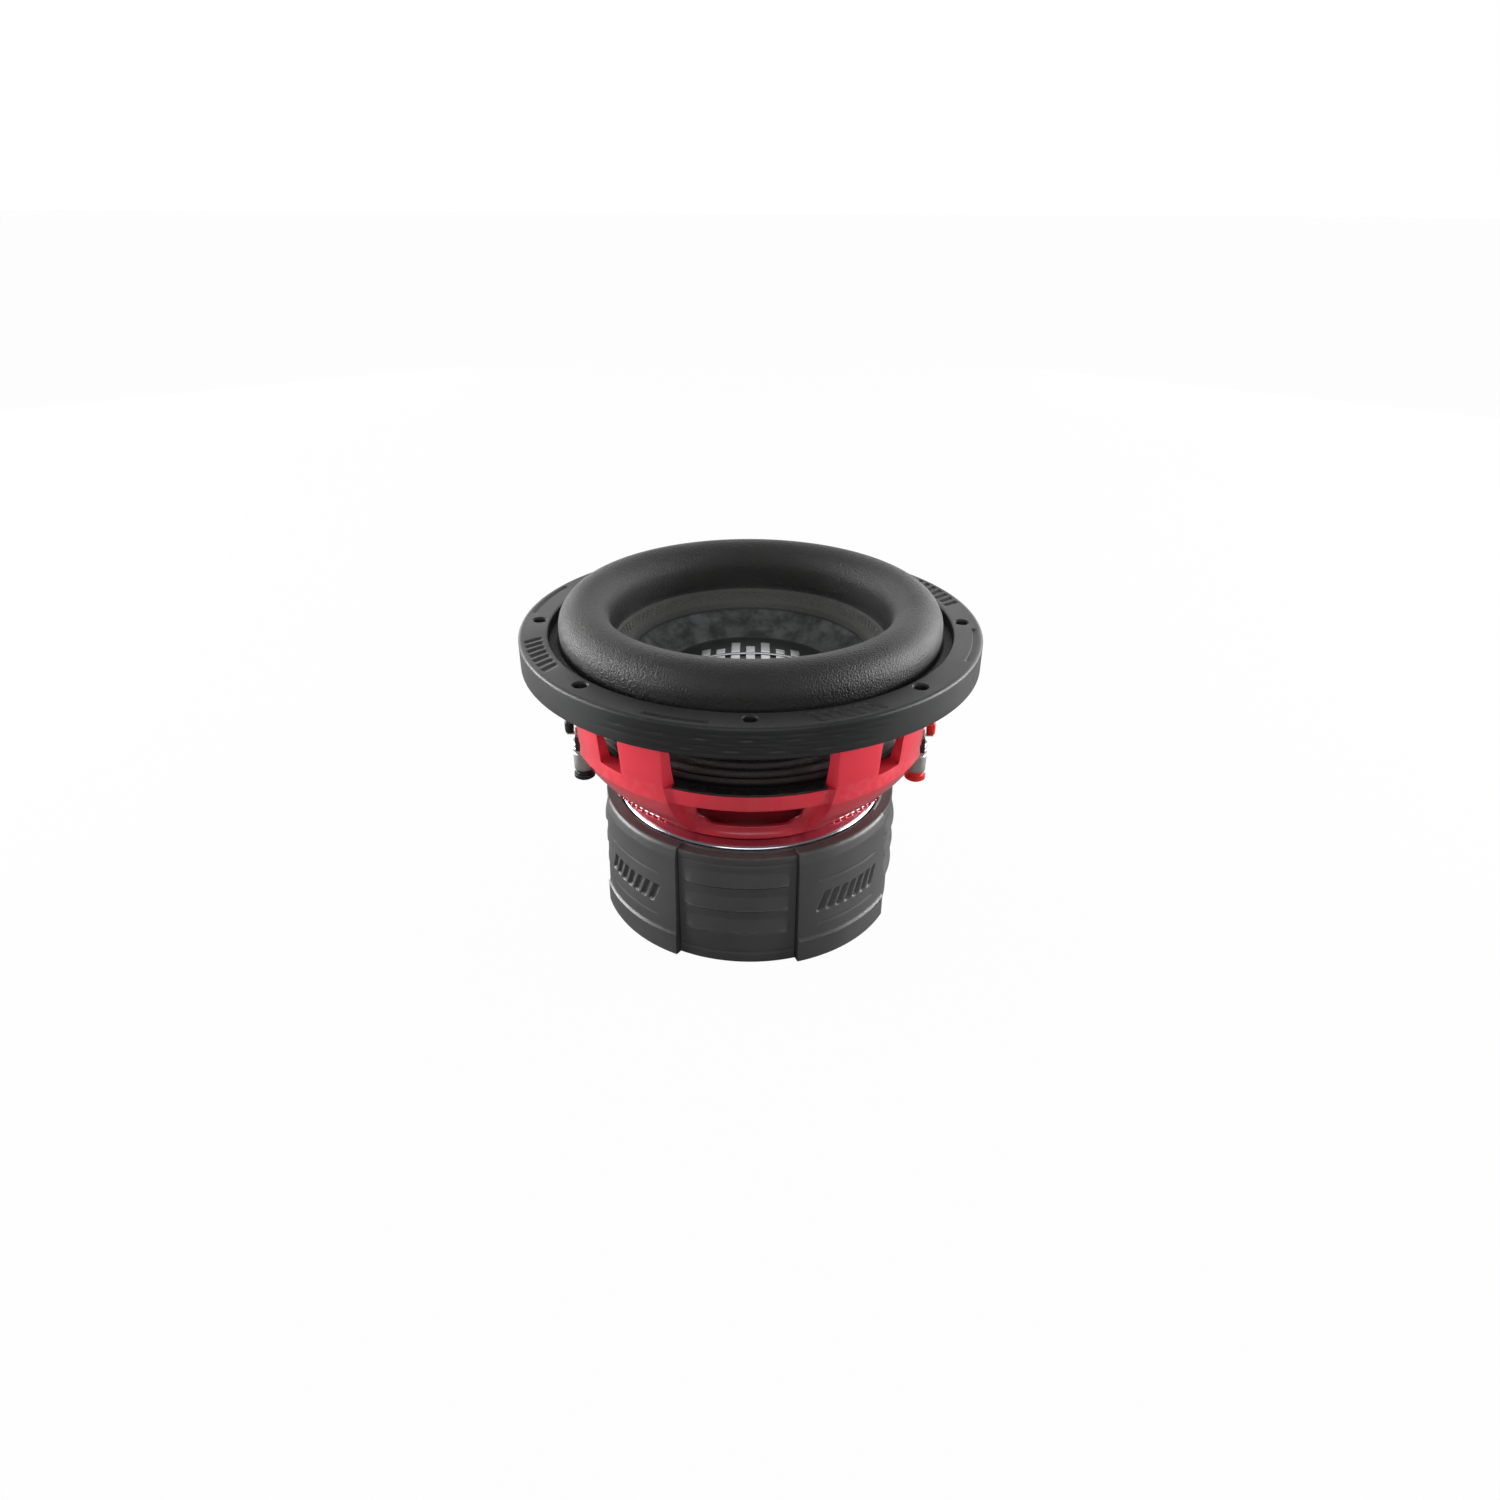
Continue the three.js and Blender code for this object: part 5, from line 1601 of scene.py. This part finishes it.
def build_world():
    world = bpy.data.worlds.new("studio tent")
    bpy.context.scene.world = world
    world.use_nodes = True
    tree = world.node_tree
    tree.nodes.clear()
    direction = put(tree, "ShaderNodeTexCoord").outputs["Generated"]
    parts = split(tree, direction)
    level = axis_distance(tree, parts)
    behind = calc(tree, "DIVIDE", parts["Y"], calc(tree, "MAXIMUM", level, 0.001))
    paper = spread(tree, behind, 0.46, 0.60, 0.0, 1.0)
    low_down = spread(tree, parts["Z"], 0.75, 0.45, 0.0, 1.0)
    backdrop = calc(tree, "MULTIPLY", paper, low_down)
    room = spread(tree, parts["Z"], -0.1, 0.95, ROOM_LOW, ROOM_HIGH)
    shade = calc(tree, "MAXIMUM", calc(tree, "MULTIPLY", backdrop, BACKDROP), room)
    tent = put(tree, "ShaderNodeBackground", {"Strength": 1.0})
    tree.links.new(shade, tent.inputs["Color"])
    plain = put(tree, "ShaderNodeBackground", {"Strength": 1.0})
    plain.inputs["Color"].default_value = (1.0, 1.0, 1.0, 1.0)
    seen = put(tree, "ShaderNodeLightPath").outputs["Is Camera Ray"]
    mix = put(tree, "ShaderNodeMixShader", {0: seen, 1: tent.outputs[0], 2: plain.outputs[0]})
    out = put(tree, "ShaderNodeOutputWorld")
    tree.links.new(mix.outputs[0], out.inputs["Surface"])


build_world()


def soft_box(name, place, aim_height, size, watts):
    data = bpy.data.lights.new(name, "AREA")
    data.shape = "RECTANGLE"
    data.size, data.size_y = size
    data.energy = watts
    light = bpy.data.objects.new(name, data)
    bpy.context.scene.collection.objects.link(light)
    turn = (Vector((0, 0, aim_height)) - Vector(place)).to_track_quat("-Z", "Y").to_matrix().to_4x4()
    light.matrix_world = Matrix.Translation(place) @ turn
    light.visible_camera = False


for label, x, y, z, size, watts in (("box", 1.25, 0.20, 0.22, (0.9, 0.6), 29.0),
                                    ("rear box", 0.95, 1.35, 0.30, (1.0, 0.6), 5.0)):
    for side, sign in (("left", -1), ("right", 1)):
        soft_box(f"{side} {label}", (sign * x, y, z), 0.12, size, watts)
soft_box("over box", (0.0, 0.35, 1.6), 0.1, (1.2, 1.2), 4.0)
soft_box("front box", (0.0, -1.85, 0.75), 0.08, (1.8, 0.7), 11.0)

bpy.context.scene.view_settings.view_transform = "Standard"
bpy.context.scene.view_settings.look = "None"
bpy.context.scene.view_settings.exposure = 0.0
